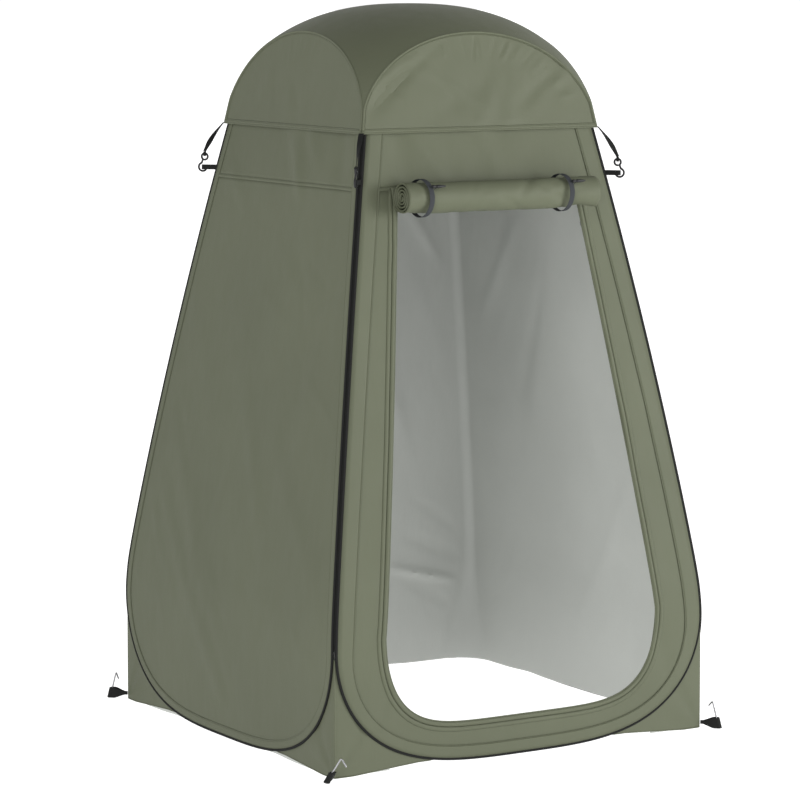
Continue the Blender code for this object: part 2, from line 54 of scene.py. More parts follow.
# %% The form's numbers, in metres
BASE_HALF, HEM_HALF = 0.600, 0.372
HEM_Z, KNEE_Z, KNEE_SOFTNESS = 1.692, 0.380, 0.050
WALL_BOW = 0.010
SEAM_Z = 1.535
CORNER_GAP = 0.0075
FOOT_Z, FOOT_TOP, FOOT_POWER = 0.0040, 0.330, 3.4
ARCH_RISE, ARCH_POWER = 0.247, 2.55
OPEN_HALF_FOOT, OPEN_HALF_TOP = 0.437, 0.283
OPEN_FOOT_Z, OPEN_FOOT_TOP, OPEN_POWER = 0.110, 0.360, 5.2
CAP_OUT, CAP_DROP, CROWN_RISE = 0.0075, 0.010, 0.331
SIDES = ("front", "right", "back", "left")
CORNERS = ("front_right", "back_right", "back_left", "front_left")
CLOTH = 0.0009
TURNS = [np.array([[c, -s, 0], [s, c, 0], [0, 0, 1]])
         for c, s in ((1, 0), (0, 1), (-1, 0), (0, -1))]


def wall_half(z):
    """Distance from the axis to the middle of a wall: upright, a soft knee, then a lean with
    a slight bow of 4 * share * (1 - share)."""
    above = z - KNEE_Z
    rise = 0.5 * (above + np.hypot(above, KNEE_SOFTNESS))
    share = np.clip(above / (HEM_Z - KNEE_Z), 0, 1)
    lean = (BASE_HALF - HEM_HALF) / (HEM_Z - KNEE_Z)
    return BASE_HALF - lean * rise + WALL_BOW * 4 * share * (1 - share)


def hoop_half(z):
    """Half-width of a hoop at a height: the wall's, times a superellipse at the foot and a
    flattened arch at the top."""
    foot = np.clip((FOOT_TOP - z) / (FOOT_TOP - FOOT_Z), 0, 1)
    arch = np.clip((z - HEM_Z) / ARCH_RISE, 0, 1) ** ARCH_POWER
    return ((wall_half(z) - CORNER_GAP) * (1 - foot ** 2) ** (1 / FOOT_POWER)
            * np.sqrt(1 - arch))


def on_wall(sideways, up, out=0.0):
    """A point of the front wall from its own coordinates."""
    sideways, up, out = np.broadcast_arrays(sideways, up, out)
    return np.stack([sideways, -(wall_half(up) + out), up], axis=-1)


print("half-width at the knee", round(float(wall_half(KNEE_Z)), 3), "and at the hem",
      round(float(wall_half(HEM_Z)), 3))

# %% [markdown]
# ## Shader maths as plain expressions
# A material is a graph of nodes, which is tedious to wire by hand. A small class holds one
# output of a node. Adding or multiplying two of them adds the Math node that does it, so that a
# pattern reads as the formula that it is.

# %% A class for shader values


class Value:
    """A number or colour that a node puts out. Sums and products of values add Math nodes."""

    def __init__(self, finish, socket):
        self.finish, self.socket = finish, socket

    def maths(self, operation, *others):
        return self.finish.node("ShaderNodeMath", {"operation": operation},
                                dict(enumerate((self, *others))))

    def __add__(self, other):
        return self.maths("ADD", other)

    def __mul__(self, other):
        return self.maths("MULTIPLY", other)

    def __sub__(self, other):
        return self.maths("SUBTRACT", other)

    def __rsub__(self, other):
        return self.finish.node("ShaderNodeMath", {"operation": "SUBTRACT"}, {0: other, 1: self})

    __radd__, __rmul__ = __add__, __mul__

    def wave(self, pitch):
        """A ripple from 0 to 1 that repeats every pitch: (1 + sin(2 pi x / pitch)) / 2."""
        return (self * (2 * math.pi / pitch)).maths("SINE") * 0.5 + 0.5

    def fade(self, low, high):
        """0 below low and 1 above high, smooth between them."""
        settings = {"interpolation_type": "SMOOTHSTEP"}
        return self.finish.node("ShaderNodeMapRange", settings,
                                {"Value": self, "From Min": low, "From Max": high})


class Finish:
    """One material, with a Principled shader ready to be fed."""

    def __init__(self, name, roughness, metallic=0.0, **constants):
        self.material = bpy.data.materials.new(name)
        self.material.use_nodes = True
        self.tree = self.material.node_tree
        self.shader = self.tree.nodes["Principled BSDF"]
        self.feed(Roughness=roughness, Metallic=metallic)
        for socket, value in constants.items():
            self.shader.inputs[socket.replace("_", " ")].default_value = value

    def node(self, kind, settings=None, sockets=None, output=0):
        """Adds a node: its settings first, then a value or a link for each socket named."""
        made = self.tree.nodes.new(kind)
        for setting, value in (settings or {}).items():
            setattr(made, setting, value)
        for socket, value in (sockets or {}).items():
            if isinstance(value, Value):
                self.tree.links.new(value.socket, made.inputs[socket])
            else:
                made.inputs[socket].default_value = value
        return Value(self, made.outputs[output])

    def feed(self, **sockets):
        """Links or sets the shader's sockets, with _ for a space in their names."""
        for socket, value in sockets.items():
            target = self.shader.inputs[socket.replace("_", " ")]
            if isinstance(value, Value):
                self.tree.links.new(value.socket, target)
            else:
                target.default_value = value

    def place(self, kind="Object"):
        return self.node("ShaderNodeTexCoord", output=kind)

    def parts(self, vector):
        """The three numbers of a vector."""
        split = self.node("ShaderNodeSeparateXYZ", sockets={0: vector})
        return [Value(self, socket) for socket in split.socket.node.outputs]

    def noise(self, scale, detail=2.0, stretch=None):
        """Cloudy noise from 0 to 1, scale lumps to the metre, stretched along an axis if asked."""
        vector = self.place()
        if stretch:
            vector = self.node("ShaderNodeMapping", sockets={"Vector": vector, "Scale": stretch})
        return self.node("ShaderNodeTexNoise", sockets={"Vector": vector, "Scale": scale,
                                                        "Detail": detail})

    def blend(self, factor, first, second):
        """A colour between two, by a factor from 0 to 1."""
        made = self.tree.nodes.new("ShaderNodeMix")
        made.data_type = "RGBA"
        for socket, value in ((0, factor), (6, first), (7, second)):
            if isinstance(value, Value):
                self.tree.links.new(value.socket, made.inputs[socket])
            else:
                made.inputs[socket].default_value = value if socket == 0 else (*value, 1.0)
        return Value(self, made.outputs[2])

    def bump(self, height, distance, under=None):
        """A Bump node: distance is the relief in metres between heights 0 and 1."""
        sockets = {"Height": height, "Distance": distance, "Strength": 1.0}
        if under:
            sockets["Normal"] = under
        return self.node("ShaderNodeBump", sockets=sockets)


print("shader helpers ready")

# %% [markdown]
# ## The cloth's finishes
# The walls are thin coated polyester: dull olive outside, silver-grey inside, where the coating
# keeps light out. A colour alone would look like card. So the weave is a fine bump of crossing
# waves, the coating's soft crumple is a broad bump, and slow noise shifts the colour a little.

# %% Olive and silver cloth


def woven_cloth(name, colour, roughness, variation, crumple, pitch=0.0011):
    """Coated cloth: height = warp wave * (1 - weft wave), over slow crumpling noise."""
    finish = Finish(name, roughness, Specular_IOR_Level=0.25)
    across, along, _ = finish.parts(finish.place("UV"))
    weave = across.wave(pitch) * (1 - along.wave(pitch))
    broad = finish.noise(2.3, 3.0)
    fine = finish.noise(24.0, 3.0, stretch=(1.0, 1.0, 0.45))
    dark = tuple(c * (1 - variation) for c in colour)
    light = tuple(c * (1 + variation) for c in colour)
    tint = finish.blend(broad.fade(0.3, 0.7), dark, light)
    thread = finish.blend(weave * 0.10, tint, dark)
    relief = finish.bump(fine, crumple)
    relief = finish.bump(weave, 0.00006, under=relief)
    finish.feed(Base_Color=thread, Normal=relief,
                Roughness=fine * 0.12 + (roughness - 0.06))
    return finish.material


OLIVE = (0.089, 0.098, 0.062)
olive = woven_cloth("olive_cloth", OLIVE, 0.62, 0.035, 0.0012)
olive_cap = woven_cloth("olive_cap_cloth", OLIVE, 0.60, 0.030, 0.0010)
silver = woven_cloth("silver_lining", (0.448, 0.461, 0.438), 0.55, 0.030, 0.0016)
print("cloth finishes:", olive.name, olive_cap.name, silver.name)

# %% [markdown]
# ## Tape, webbing, wire and moulded finishes
# Webbing shows ribs across its width, and folded tape shows finer ones. Both come from the
# piece's own UV map in metres, so the ribs follow every twist. The stakes are drawn wire with
# faint scratches along them, and the hooks are moulded.

# %% Small finishes


def ribbed_tape(name, colour, rib, relief):
    """Webbing: ribs along the map's second axis, and a fine weave across them."""
    finish = Finish(name, 0.85, Specular_IOR_Level=0.12)
    across, along, _ = finish.parts(finish.place("UV"))
    ribs = along.wave(rib) * (1 - across.wave(rib * 0.7) * 0.4)
    worn = finish.noise(60.0, 4.0)
    light = tuple(c * 1.9 for c in colour)
    finish.feed(Base_Color=finish.blend(ribs * 0.45 + worn * 0.25, colour, light),
                Normal=finish.bump(ribs, relief), Roughness=worn * 0.15 + 0.70)
    return finish.material


def moulded(name, colour, roughness):
    """Moulded plastic: a fine mottled skin, a little duller where it is handled."""
    finish = Finish(name, roughness, Specular_IOR_Level=0.25)
    skin = finish.noise(900.0, 2.0)
    handled = finish.noise(35.0, 3.0)
    light = tuple(c * 1.6 for c in colour)
    finish.feed(Base_Color=finish.blend(handled.fade(0.4, 0.8) * 0.5, colour, light),
                Normal=finish.bump(skin, 0.00003), Roughness=handled * 0.2 + (roughness - 0.1))
    return finish.material


def drawn_wire(name):
    """Plated steel wire: bright, with scratches stretched along its height."""
    finish = Finish(name, 0.30, 1.0)
    scratches = finish.noise(420.0, 3.0, stretch=(1.0, 1.0, 0.06))
    dull = finish.noise(30.0, 3.0)
    finish.feed(Base_Color=finish.blend(dull, (0.20, 0.20, 0.21), (0.38, 0.38, 0.39)),
                Roughness=scratches * 0.25 + 0.20, Normal=finish.bump(scratches, 0.00003))
    return finish.material


webbing = ribbed_tape("black_webbing_finish", (0.0090, 0.0094, 0.0090), 0.0019, 0.00018)
binding_tape = ribbed_tape("black_binding_finish", (0.0085, 0.0088, 0.0083), 0.0012, 0.00008)
tie_tape = ribbed_tape("grey_tie_finish", (0.028, 0.030, 0.033), 0.0014, 0.00010)
hook_plastic = moulded("black_plastic_finish", (0.010, 0.010, 0.011), 0.45)
steel = drawn_wire("plated_wire_finish")
print("small finishes:", webbing.name, binding_tape.name, tie_tape.name, hook_plastic.name)

# %% [markdown]
# ## From numbers to meshes
# Nearly every piece here is a grid of points, worked out as one array. `cloth` joins one or more
# grids into a surface, turns its faces outwards and gives it a thickness with Solidify, whose
# inner faces take the lining's finish. `tube` carries a profile along a path.

# %% Mesh helpers


def grid_faces(rows, columns, first=0, wrap=False):
    """Quads of a grid of points stored row by row, joined round if it wraps."""
    r = np.arange(rows if wrap else rows - 1)[:, None]
    a = (r * columns + np.arange(columns - 1)).ravel() + first
    b = (((r + 1) % rows) * columns + np.arange(columns - 1)).ravel() + first
    return np.stack([a, a + 1, b + 1, b], axis=1)


def facing(points, faces, centre):
    """Faces turned round if, on the whole, they point at the centre line and not away."""
    a, b, c, d = (points[faces[:, i]] for i in range(4))
    normal = np.cross(c - a, d - b)
    away = (a + b + c + d) / 4 - centre
    return faces if (normal * away).sum() > 0 else faces[:, ::-1]


def build(name, points, faces, uv, materials, body, smooth=40.0):
    """A mesh object from arrays, doubles merged, with a map in metres, riding on a body."""
    mesh = bpy.data.meshes.new(name)
    mesh.from_pydata(points, [], faces.tolist())
    layer = mesh.uv_layers.new(name="cloth")
    layer.data.foreach_set("uv", uv[faces.ravel()].astype(np.float32).ravel())
    builder = bmesh.new()
    builder.from_mesh(mesh)
    bmesh.ops.remove_doubles(builder, verts=builder.verts, dist=2e-6)
    builder.to_mesh(mesh)
    builder.free()
    for made in materials:
        mesh.materials.append(made)
    mesh.shade_smooth()
    mesh.set_sharp_from_angle(angle=math.radians(smooth))
    piece = bpy.data.objects.new(name, mesh)
    bpy.context.scene.collection.objects.link(piece)
    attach(piece, body)
    return piece


def metres(grid):
    """A map of a grid in metres: distance along its rows and along its columns."""
    def run(points, axis):
        step = np.linalg.norm(np.diff(points, axis=axis), axis=-1)
        total = np.cumsum(step, axis=axis)
        return np.insert(total, 0, 0, axis=axis)
    return np.stack([run(grid, 1), run(grid, 0)], axis=-1)


def cloth(name, grids, body="tent", thick=CLOTH, inside=None, outside=None, wrap=False,
          centre=(0, 0, None), uvs=None):
    """A sheet: grids of points, thickened inwards. A centre of None is the point's own height."""
    points, faces, maps, first = [], [], [], 0
    for i, grid in enumerate(grids):
        flat = grid.reshape(-1, 3)
        middle = np.where([c is None for c in centre], flat.mean(0),
                          [c or 0.0 for c in centre])
        quads = grid_faces(*grid.shape[:2], wrap=wrap)
        faces.append(facing(flat, quads, middle) + first)
        points.append(flat)
        maps.append((uvs[i] if uvs else metres(grid)).reshape(-1, 2))
        first += len(flat)
    piece = build(name, np.concatenate(points), np.concatenate(faces), np.concatenate(maps),
                  [outside or olive, inside or silver], body)
    solid = piece.modifiers.new("thickness", "SOLIDIFY")
    solid.thickness, solid.offset, solid.material_offset = thick, -1.0, 1
    return piece


def unit(vectors):
    return vectors / np.maximum(np.linalg.norm(vectors, axis=-1, keepdims=True), 1e-12)


def tube(name, path, profile, material, body, up, scale=None, closed=False, smooth=40.0):
    """A profile (side, up) carried along a path, closed at its ends by shrinking to a point."""
    path = np.asarray(path, float)
    along = unit(np.roll(path, -1, 0) - np.roll(path, 1, 0) if closed
                 else np.gradient(path, axis=0))
    up = np.broadcast_to(up, path.shape)
    side = unit(np.cross(along, up))
    up = np.cross(side, along)
    scale = np.ones(len(path)) if scale is None else np.asarray(scale, float)
    profile = np.broadcast_to(profile, (len(path), *np.shape(profile)[-2:]))
    rings = (path[:, None] + scale[:, None, None] * (side[:, None] * profile[..., :1]
                                                     + up[:, None] * profile[..., 1:]))
    if not closed:
        rings = np.concatenate([np.broadcast_to(path[0], rings[:1].shape), rings,
                                np.broadcast_to(path[-1], rings[:1].shape)])
    rings = np.concatenate([rings, rings[:, :1]], axis=1)
    flat = rings.reshape(-1, 3)
    faces = grid_faces(*rings.shape[:2], wrap=closed)
    a, b, c, d = (flat[faces[:, i]] for i in range(4))
    if (np.cross(c - a, d - b) * (a + b + c + d - 4 * flat.mean(0))).sum() < 0:
        faces = faces[:, ::-1]
    return build(name, flat, faces, metres(rings).reshape(-1, 2), [material], body, smooth)


def ring(radius, count=12, flat=1.0):
    """A round profile, or an oval one."""
    angle = np.linspace(0, 2 * np.pi, count, endpoint=False)
    return np.stack([radius * np.cos(angle), radius * flat * np.sin(angle)], axis=-1)


def strap_profile(width, thick, count=16, power=0.35):
    """A flat profile with round edges: a superellipse."""
    angle = np.linspace(0, 2 * np.pi, count, endpoint=False)
    c, s = np.cos(angle), np.sin(angle)
    return np.stack([width / 2 * np.sign(c) * np.abs(c) ** power,
                     thick / 2 * np.sign(s) * np.abs(s) ** power], axis=-1)


def resample(curve, count, closed=False):
    """The curve again, with its points evenly spaced along it."""
    run = np.concatenate([curve, curve[:1]]) if closed else curve
    along = np.insert(np.cumsum(np.linalg.norm(np.diff(run, axis=0), axis=1)), 0, 0)
    at = np.linspace(0, along[-1], count, endpoint=not closed)
    return np.stack([np.interp(at, along, run[:, k]) for k in range(run.shape[1])], axis=-1)


def inset(curve, distance, closed=False):
    """A flat curve moved square to itself, to its left."""
    along = unit(np.roll(curve, -1, 0) - np.roll(curve, 1, 0) if closed
                 else np.gradient(curve, axis=0))
    normal = np.stack([-along[:, 1], along[:, 0]], axis=-1)
    return curve + normal * np.broadcast_to(distance, len(curve))[:, None]


def smoothstep(x):
    x = np.clip(x, 0, 1)
    return x * x * (3 - 2 * x)


print("mesh helpers ready")

# %% [markdown]
# ## Creases
# Cloth under light tension keeps soft creases where it was folded. Each one is a ridge that is
# narrow across and fades along its length. A wall sums a few dozen of them into one relief,
# which fades to nothing near the hoops, because there the cloth is pulled tight.

# %% Creases as a formula


def creases(sideways, up, lines):
    """Sum of ridges: height * exp(-(across / width)^2) * exp(-(along / length)^4).

    Each line is (sideways, up, angle in degrees, length, width, height)."""
    lines = np.asarray(lines, float)
    x, z, angle, length, width, height = (lines[:, i] for i in range(6))
    angle = np.radians(angle)
    dx, dz = sideways[..., None] - x, up[..., None] - z
    along = dx * np.cos(angle) + dz * np.sin(angle)
    across = -dx * np.sin(angle) + dz * np.cos(angle)
    ridge = np.exp(-(across / width) ** 2) * np.exp(-(along / length) ** 4)
    return (height * ridge).sum(-1)


def scattered(seed, count, box, height):
    """Random crease lines in a box (left, right, low, high), the same ones for each seed."""
    rng = np.random.default_rng(seed)
    x, z = rng.uniform(box[0], box[1], count), rng.uniform(box[2], box[3], count)
    angle = rng.choice([-1, 1], count) * rng.uniform(25, 80, count)
    length, width = rng.uniform(0.06, 0.22, count), rng.uniform(0.008, 0.022, count)
    return np.stack([x, z, angle, length, width, height * rng.uniform(-1, 1, count)], axis=-1)


WALL_CREASES = {side: np.concatenate([
    scattered(11 + i, 34, (-0.5, 0.5, 0.1, 1.6), 0.0016),
    scattered(71 + i, 9, (-0.3, 0.3, 1.55, 1.68), 0.0060) * (1, 1, 1, 0.8, 2.2, 1),
    scattered(91 + i, 8, (-0.45, 0.45, 0.2, 1.4), 0.0034) * (1, 1, 1, 2.0, 3.0, 1)])
    for i, side in enumerate(SIDES)}
print("creases to a wall:", len(WALL_CREASES["back"]))


def calm(sideways, up):
    """1 in the middle of a wall and 0 within a few centimetres of its hoop."""
    edge = hoop_half(up) - np.abs(sideways)
    return smoothstep((edge - 0.02) / 0.09) * smoothstep((up - 0.05) / 0.10)


# %% [markdown]
# ## Outlines of a hoop and of the doorway
# The seams of a wall run parallel to its hoop, so its outline is needed as a curve as well. It
# is a loop of evenly spaced points that starts at the middle of the foot and runs to the right.

# %% Outlines


def hoop_loop(count=320):
    """A hoop's closed centre line in the wall's coordinates, anticlockwise from the foot."""
    foot = np.radians(np.linspace(0, 90, 60))
    foot_half, drop = wall_half(FOOT_TOP) - CORNER_GAP, FOOT_TOP - FOOT_Z
    lower = np.stack([foot_half * np.sin(foot),
                      FOOT_TOP - drop * np.sqrt(1 - np.sin(foot) ** FOOT_POWER)], axis=-1)
    z = np.linspace(FOOT_TOP, HEM_Z, 60)[1:]
    side = np.stack([wall_half(z) - CORNER_GAP, z], axis=-1)
    arch = np.radians(np.linspace(0, 90, 60))[1:]
    z = HEM_Z + ARCH_RISE * np.sin(arch) ** (2 / ARCH_POWER)
    top = np.stack([(wall_half(z) - CORNER_GAP) * np.cos(arch), z], axis=-1)
    right = np.concatenate([lower, side, top])
    left = right[1:-1][::-1] * (-1, 1)
    return resample(np.concatenate([right, left]), count, closed=True)


def u_shape(foot_half, foot_z, foot_top, power, root, side_half, count=56):
    """A U from its top left, round the foot, to its top right: a superellipse, then sides."""
    angle = np.radians(np.linspace(0, 90, count))
    drop = foot_top - foot_z
    lower = np.stack([foot_half * np.sin(angle),
                      foot_top - drop * (1 - np.sin(angle) ** power) ** (1 / root)], axis=-1)
    z = np.linspace(foot_top, SEAM_Z, count)[1:]
    right = np.concatenate([lower, np.stack([side_half(z), z], axis=-1)])
    return np.concatenate([right[:0:-1] * (-1, 1), right])


def door_side(z):
    share = (z - OPEN_FOOT_TOP) / (SEAM_Z - OPEN_FOOT_TOP)
    return OPEN_HALF_FOOT + (OPEN_HALF_TOP - OPEN_HALF_FOOT) * share


HOOP = hoop_loop()
FRONT_U = u_shape(float(wall_half(FOOT_TOP)) - CORNER_GAP, FOOT_Z, FOOT_TOP, FOOT_POWER, 2.0,
                  lambda z: wall_half(z) - CORNER_GAP)
DOOR_U = u_shape(OPEN_HALF_FOOT, OPEN_FOOT_Z, OPEN_FOOT_TOP, OPEN_POWER, 2.2, door_side)
print("points round a hoop:", len(HOOP), "and round the doorway:", len(DOOR_U))

# %% [markdown]
# ## Wall panels
# A wall is two panels, joined by a level seam. A grid of level rows suits them: each row runs
# from hoop to hoop, and the rows crowd together at the foot, where the outline turns quickly.
# The front has an arch above the doorway and a U round it, so its lower panel is a band between
# two outlines.

# %% Panels


def level_rows(heights, columns, out, side):
    """A grid of level rows across a wall, creased, at a distance out from its middle."""
    across = np.linspace(-1, 1, columns)
    half = np.maximum(hoop_half(heights) - 0.0012, 0)
    sideways, up = half[:, None] * across, np.broadcast_to(heights[:, None],
                                                           (len(heights), columns))
    relief = creases(sideways, up, WALL_CREASES[side]) * calm(sideways, up)
    return on_wall(sideways, up, out + relief), np.stack([sideways, up], axis=-1)


angle = np.radians(90 * np.linspace(0, 1, 34) ** 1.4)
foot_rows = FOOT_Z + 0.0012 + (FOOT_TOP - FOOT_Z - 0.0012) * (1 - np.cos(angle))
LOWER_ROWS = np.concatenate([foot_rows, np.linspace(FOOT_TOP, SEAM_Z, 92)[1:]])
angle = np.radians(90 * (1 - (1 - np.linspace(0, 1, 26)) ** 1.3))
UPPER_ROWS = np.concatenate([np.linspace(SEAM_Z, HEM_Z, 12)[:-1],
                             HEM_Z + (ARCH_RISE - 0.0012) * np.sin(angle)])
PANEL_OUT = 0.0004
for quarter, side in enumerate(SIDES):
    if side != "front":
        grid, flat = level_rows(LOWER_ROWS, 99, PANEL_OUT, side)
        piece = cloth(f"wall_panel_lower_{side}", [grid @ TURNS[quarter].T], uvs=[flat])
        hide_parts(f"wall_lower_{side}")
    grid, flat = level_rows(UPPER_ROWS, 61, PANEL_OUT, side)
    piece = cloth(f"wall_panel_upper_{side}", [grid @ TURNS[quarter].T], uvs=[flat])
    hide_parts(f"wall_upper_{side}")
print("rows in a lower panel:", len(LOWER_ROWS))


def band(outer, inner, shares, outs, side=None):
    """A strip between two outlines: rows across it at shares from outer to inner, each row
    standing out by its own height over the creased wall."""
    shares, outs = np.asarray(shares, float), np.asarray(outs, float)
    flat = outer[:, None] + (inner - outer)[:, None] * shares[:, None]
    relief = 0.0
    if side:
        relief = creases(flat[..., 0], flat[..., 1], WALL_CREASES[side])
        relief = relief * calm(flat[..., 0], flat[..., 1])
    return on_wall(flat[..., 0], flat[..., 1], outs + relief), flat


grid, flat = band(inset(FRONT_U, 0.0012), DOOR_U, np.linspace(0, 1, 22), np.full(22, PANEL_OUT),
                  "front")
piece = cloth("wall_panel_lower_front", [grid], uvs=[flat])
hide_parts("wall_lower_front")
print("front frame points:", grid.shape)

# %% [markdown]
# ## Hems and seams on the walls
# A strip of the same cloth, turned in, runs round each wall beside its hoop: narrow on three
# walls and wide on the front. Its inner edge is the line that the eye reads as a seam. Such
# strips are made as real layers, about a millimetre proud, with a stitched furrow near the edge.

# %% Strips


def strip(name, outer, inner, width, body_side, quarter, wrap, lift=0.0014, furrow=0.0036):
    """A turned-in strip: it rises from its outer edge, dips at the stitching, and drops at its
    inner edge."""
    at = np.array([0, 0.30 * width, width - 2.2 * furrow, width - 1.4 * furrow,
                   width - furrow, width - 0.6 * furrow, width - 0.25 * furrow, width])
    outs = PANEL_OUT + lift * np.array([0.9, 1.0, 1.15, 1.05, 0.35, 1.05, 1.2, 0.75])
    grid, flat = band(outer, inner, at / width, outs, body_side)
    return cloth(name, [grid @ TURNS[quarter].T], wrap=wrap, thick=0.0005, uvs=[flat])


HEM_WIDTH, FRONT_WIDTH, FRONT_FOOT_WIDTH = 0.027, 0.056, 0.038
edge = inset(HOOP, 0.0035, closed=True)
for quarter, side in enumerate(SIDES):
    if side == "front":
        low = smoothstep((0.42 - HOOP[:, 1]) / 0.40)
        width = FRONT_WIDTH + (FRONT_FOOT_WIDTH - FRONT_WIDTH) * low
        inner = inset(HOOP, width, closed=True)
        piece = strip("hem_strip_front", edge, inner, FRONT_WIDTH, side, quarter, True,
                      lift=0.0022, furrow=0.0048)
        continue
    inner = inset(HOOP, HEM_WIDTH, closed=True)
    piece = strip(f"hem_strip_{side}", edge, inner, HEM_WIDTH, side, quarter, True)


def level_seam(name, quarter, half, side, low=0.0045, high=0.0055):
    """The felled seam between a wall's panels: a strip folded flat along a level line."""
    sideways = np.linspace(-half, half, 70)
    bottom = np.stack([sideways, np.full(70, SEAM_Z - low)], axis=-1)
    top = np.stack([sideways, np.full(70, SEAM_Z + high)], axis=-1)
    shares = [0, 0.06, 0.16, 0.24, 0.5, 0.76, 0.84, 0.94, 1]
    outs = PANEL_OUT + 0.0009 * np.array([0.3, 1.2, 0.9, 1.5, 1.7, 1.5, 0.7, 1.3, 0.3])
    grid, flat = band(bottom, top, shares, outs, side)
    return cloth(name, [grid @ TURNS[quarter].T], thick=0.0005, uvs=[flat])


for quarter, side in enumerate(SIDES):
    half = float(hoop_half(SEAM_Z)) - (FRONT_WIDTH if side == "front" else HEM_WIDTH) + 0.004
    piece = level_seam(f"level_seam_{side}", quarter, half, side)
    2 * half
print("hem strips and level seams made")

# %% [markdown]
# ## The doorway's edge
# Round the doorway lie two narrow folds of cloth that cover the zip, one on the other, then the
# zip itself behind them. They are bands between outlines set back from the opening by 28 and
# 14 mm. Each is a little puffed, because a fold of cloth is never quite flat.

# %% Folds round the doorway
PUFF = np.sin(np.linspace(0, np.pi, 9)) ** 0.6


def door_fold(name, wide, narrow, lift, puff):
    """A puffed fold between two distances back from the opening."""
    outer, inner = inset(DOOR_U, -wide), inset(DOOR_U, -narrow)
    for line in (outer, inner):
        line[[0, -1], 1] = SEAM_Z
    grid, flat = band(outer, inner, np.linspace(0, 1, 9), PANEL_OUT + lift + puff * PUFF, "front")
    piece = cloth(name, [grid], thick=0.0006, inside=olive, uvs=[flat])
    return piece


door_fold("door_fold_outer", 0.0285, 0.0150, 0.0002, 0.0032)
door_fold("door_fold_inner", 0.0150, 0.0015, 0.0010, 0.0036)
rim = inset(DOOR_U, -0.0008)
tube("door_rim", on_wall(rim[:, 0], rim[:, 1], 0.0004), ring(0.0019, 10), olive,
     "tent", (0, -1, 0))

TAPE_OUT = -0.0016
grid, flat = band(inset(DOOR_U, -0.0150), inset(DOOR_U, -0.0040), np.linspace(0, 1, 5),
                  np.full(5, TAPE_OUT))
piece = cloth("zip_tape", [grid], thick=0.0006, inside=binding_tape, outside=binding_tape,
              uvs=[flat])
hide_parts("door_zip_tape")

coil = resample(inset(DOOR_U, -0.0035), 1600)
beads = 1 + 0.22 * np.sin(np.arange(1600) * np.pi / 2)
tube("zip_coil", on_wall(coil[:, 0], coil[:, 1], TAPE_OUT - 0.0008), ring(0.0013, 6),
     hook_plastic, "tent", (0, -1, 0), scale=beads, smooth=60.0)
print("zip coil beads:", 400)

# %% [markdown]
# ## Hoops and their binding
# Each hoop is a steel band hidden in a fold of black tape at the wall's edge. Only the tape
# shows, as a soft black line round every wall. Its solid is a channel of straight runs. Here it
# becomes a smooth tube with a flattened profile on an evenly spaced loop.

# %% Bindings
for quarter, side in enumerate(SIDES):
    loop = on_wall(HOOP[:, 0], HOOP[:, 1])
    profile = strap_profile(0.0070, 0.0058, 14, 0.62)
    piece = tube(f"edge_binding_{side}", loop @ TURNS[quarter].T, profile, binding_tape,
                 "tent", -TURNS[quarter][:, 1], closed=True)
    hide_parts(f"binding_{side}", f"hoop_{side}")


def corner_seam(quarter, corner):
    """The strip that joins two bindings along a corner, from the hoops' feet to the hem."""
    z = np.linspace(FOOT_TOP + 0.01, HEM_Z - 0.014, 90)
    reach = wall_half(z) - 0.0046
    path = np.stack([reach, -reach, z], axis=-1) @ TURNS[quarter].T
    out = np.array([1, -1, 0]) / math.sqrt(2) @ TURNS[quarter].T
    return tube(f"corner_seam_{corner}", path, strap_profile(0.0095, 0.0030), binding_tape,
                "tent", out)


for quarter, corner in enumerate(CORNERS):
    corner_seam(quarter, corner)
print("bindings made")

# %% [markdown]
# ## The lining
# Seen through the doorway, the inside is one smooth silver skin. It hides the hoops and rounds
# every corner. So it is one sheet that starts on the front wall, goes round the three others
# and ends on the front again. Its plan is a square with round corners, whose size follows the
# walls, and its hem dips a little below the olive one beside each foot.

# %% Lining
LINING_BACK, LINING_TURN, FOOT_TURN = 0.0042, 0.026, 0.075


def lining_plan():
    """Corner shares and directions of the plan: a point is share * (half - turn) + turn * unit."""
    shares, units = [], []
    corners = [(-1, -1), (-1, 1), (1, 1), (1, -1)]
    straight = (0.5 - 0.5 * np.cos(np.linspace(0, np.pi, 86)))[1:-1]
    for i, (x, y) in enumerate(corners):
        start = math.atan2(-1, 0) if i == 0 else start - math.pi / 2
        turn = start - np.linspace(0, np.pi / 2, 9)
        if i == 0:
            front = np.linspace(-0.86, -1, 6)[:-1]
            shares.append(np.stack([front, np.full(5, -1.0)], axis=-1))
            units.append(np.tile([0.0, -1.0], (5, 1)))
        shares.append(np.tile([x, y], (9, 1)).astype(float))
        units.append(np.stack([np.cos(turn), np.sin(turn)], axis=-1))
        if i < 3:
            ahead = np.array(corners[i + 1], float)
            run = np.array([x, y], float) + (ahead - (x, y)) * straight[:, None]
            shares.append(run)
            units.append(np.tile(units[-1][-1], (len(straight), 1)))
    front = np.linspace(1, 0.86, 6)[1:]
    shares.append(np.stack([front, np.full(5, -1.0)], axis=-1))
    units.append(np.tile([0.0, -1.0], (5, 1)))
    return np.concatenate(shares), np.concatenate(units)


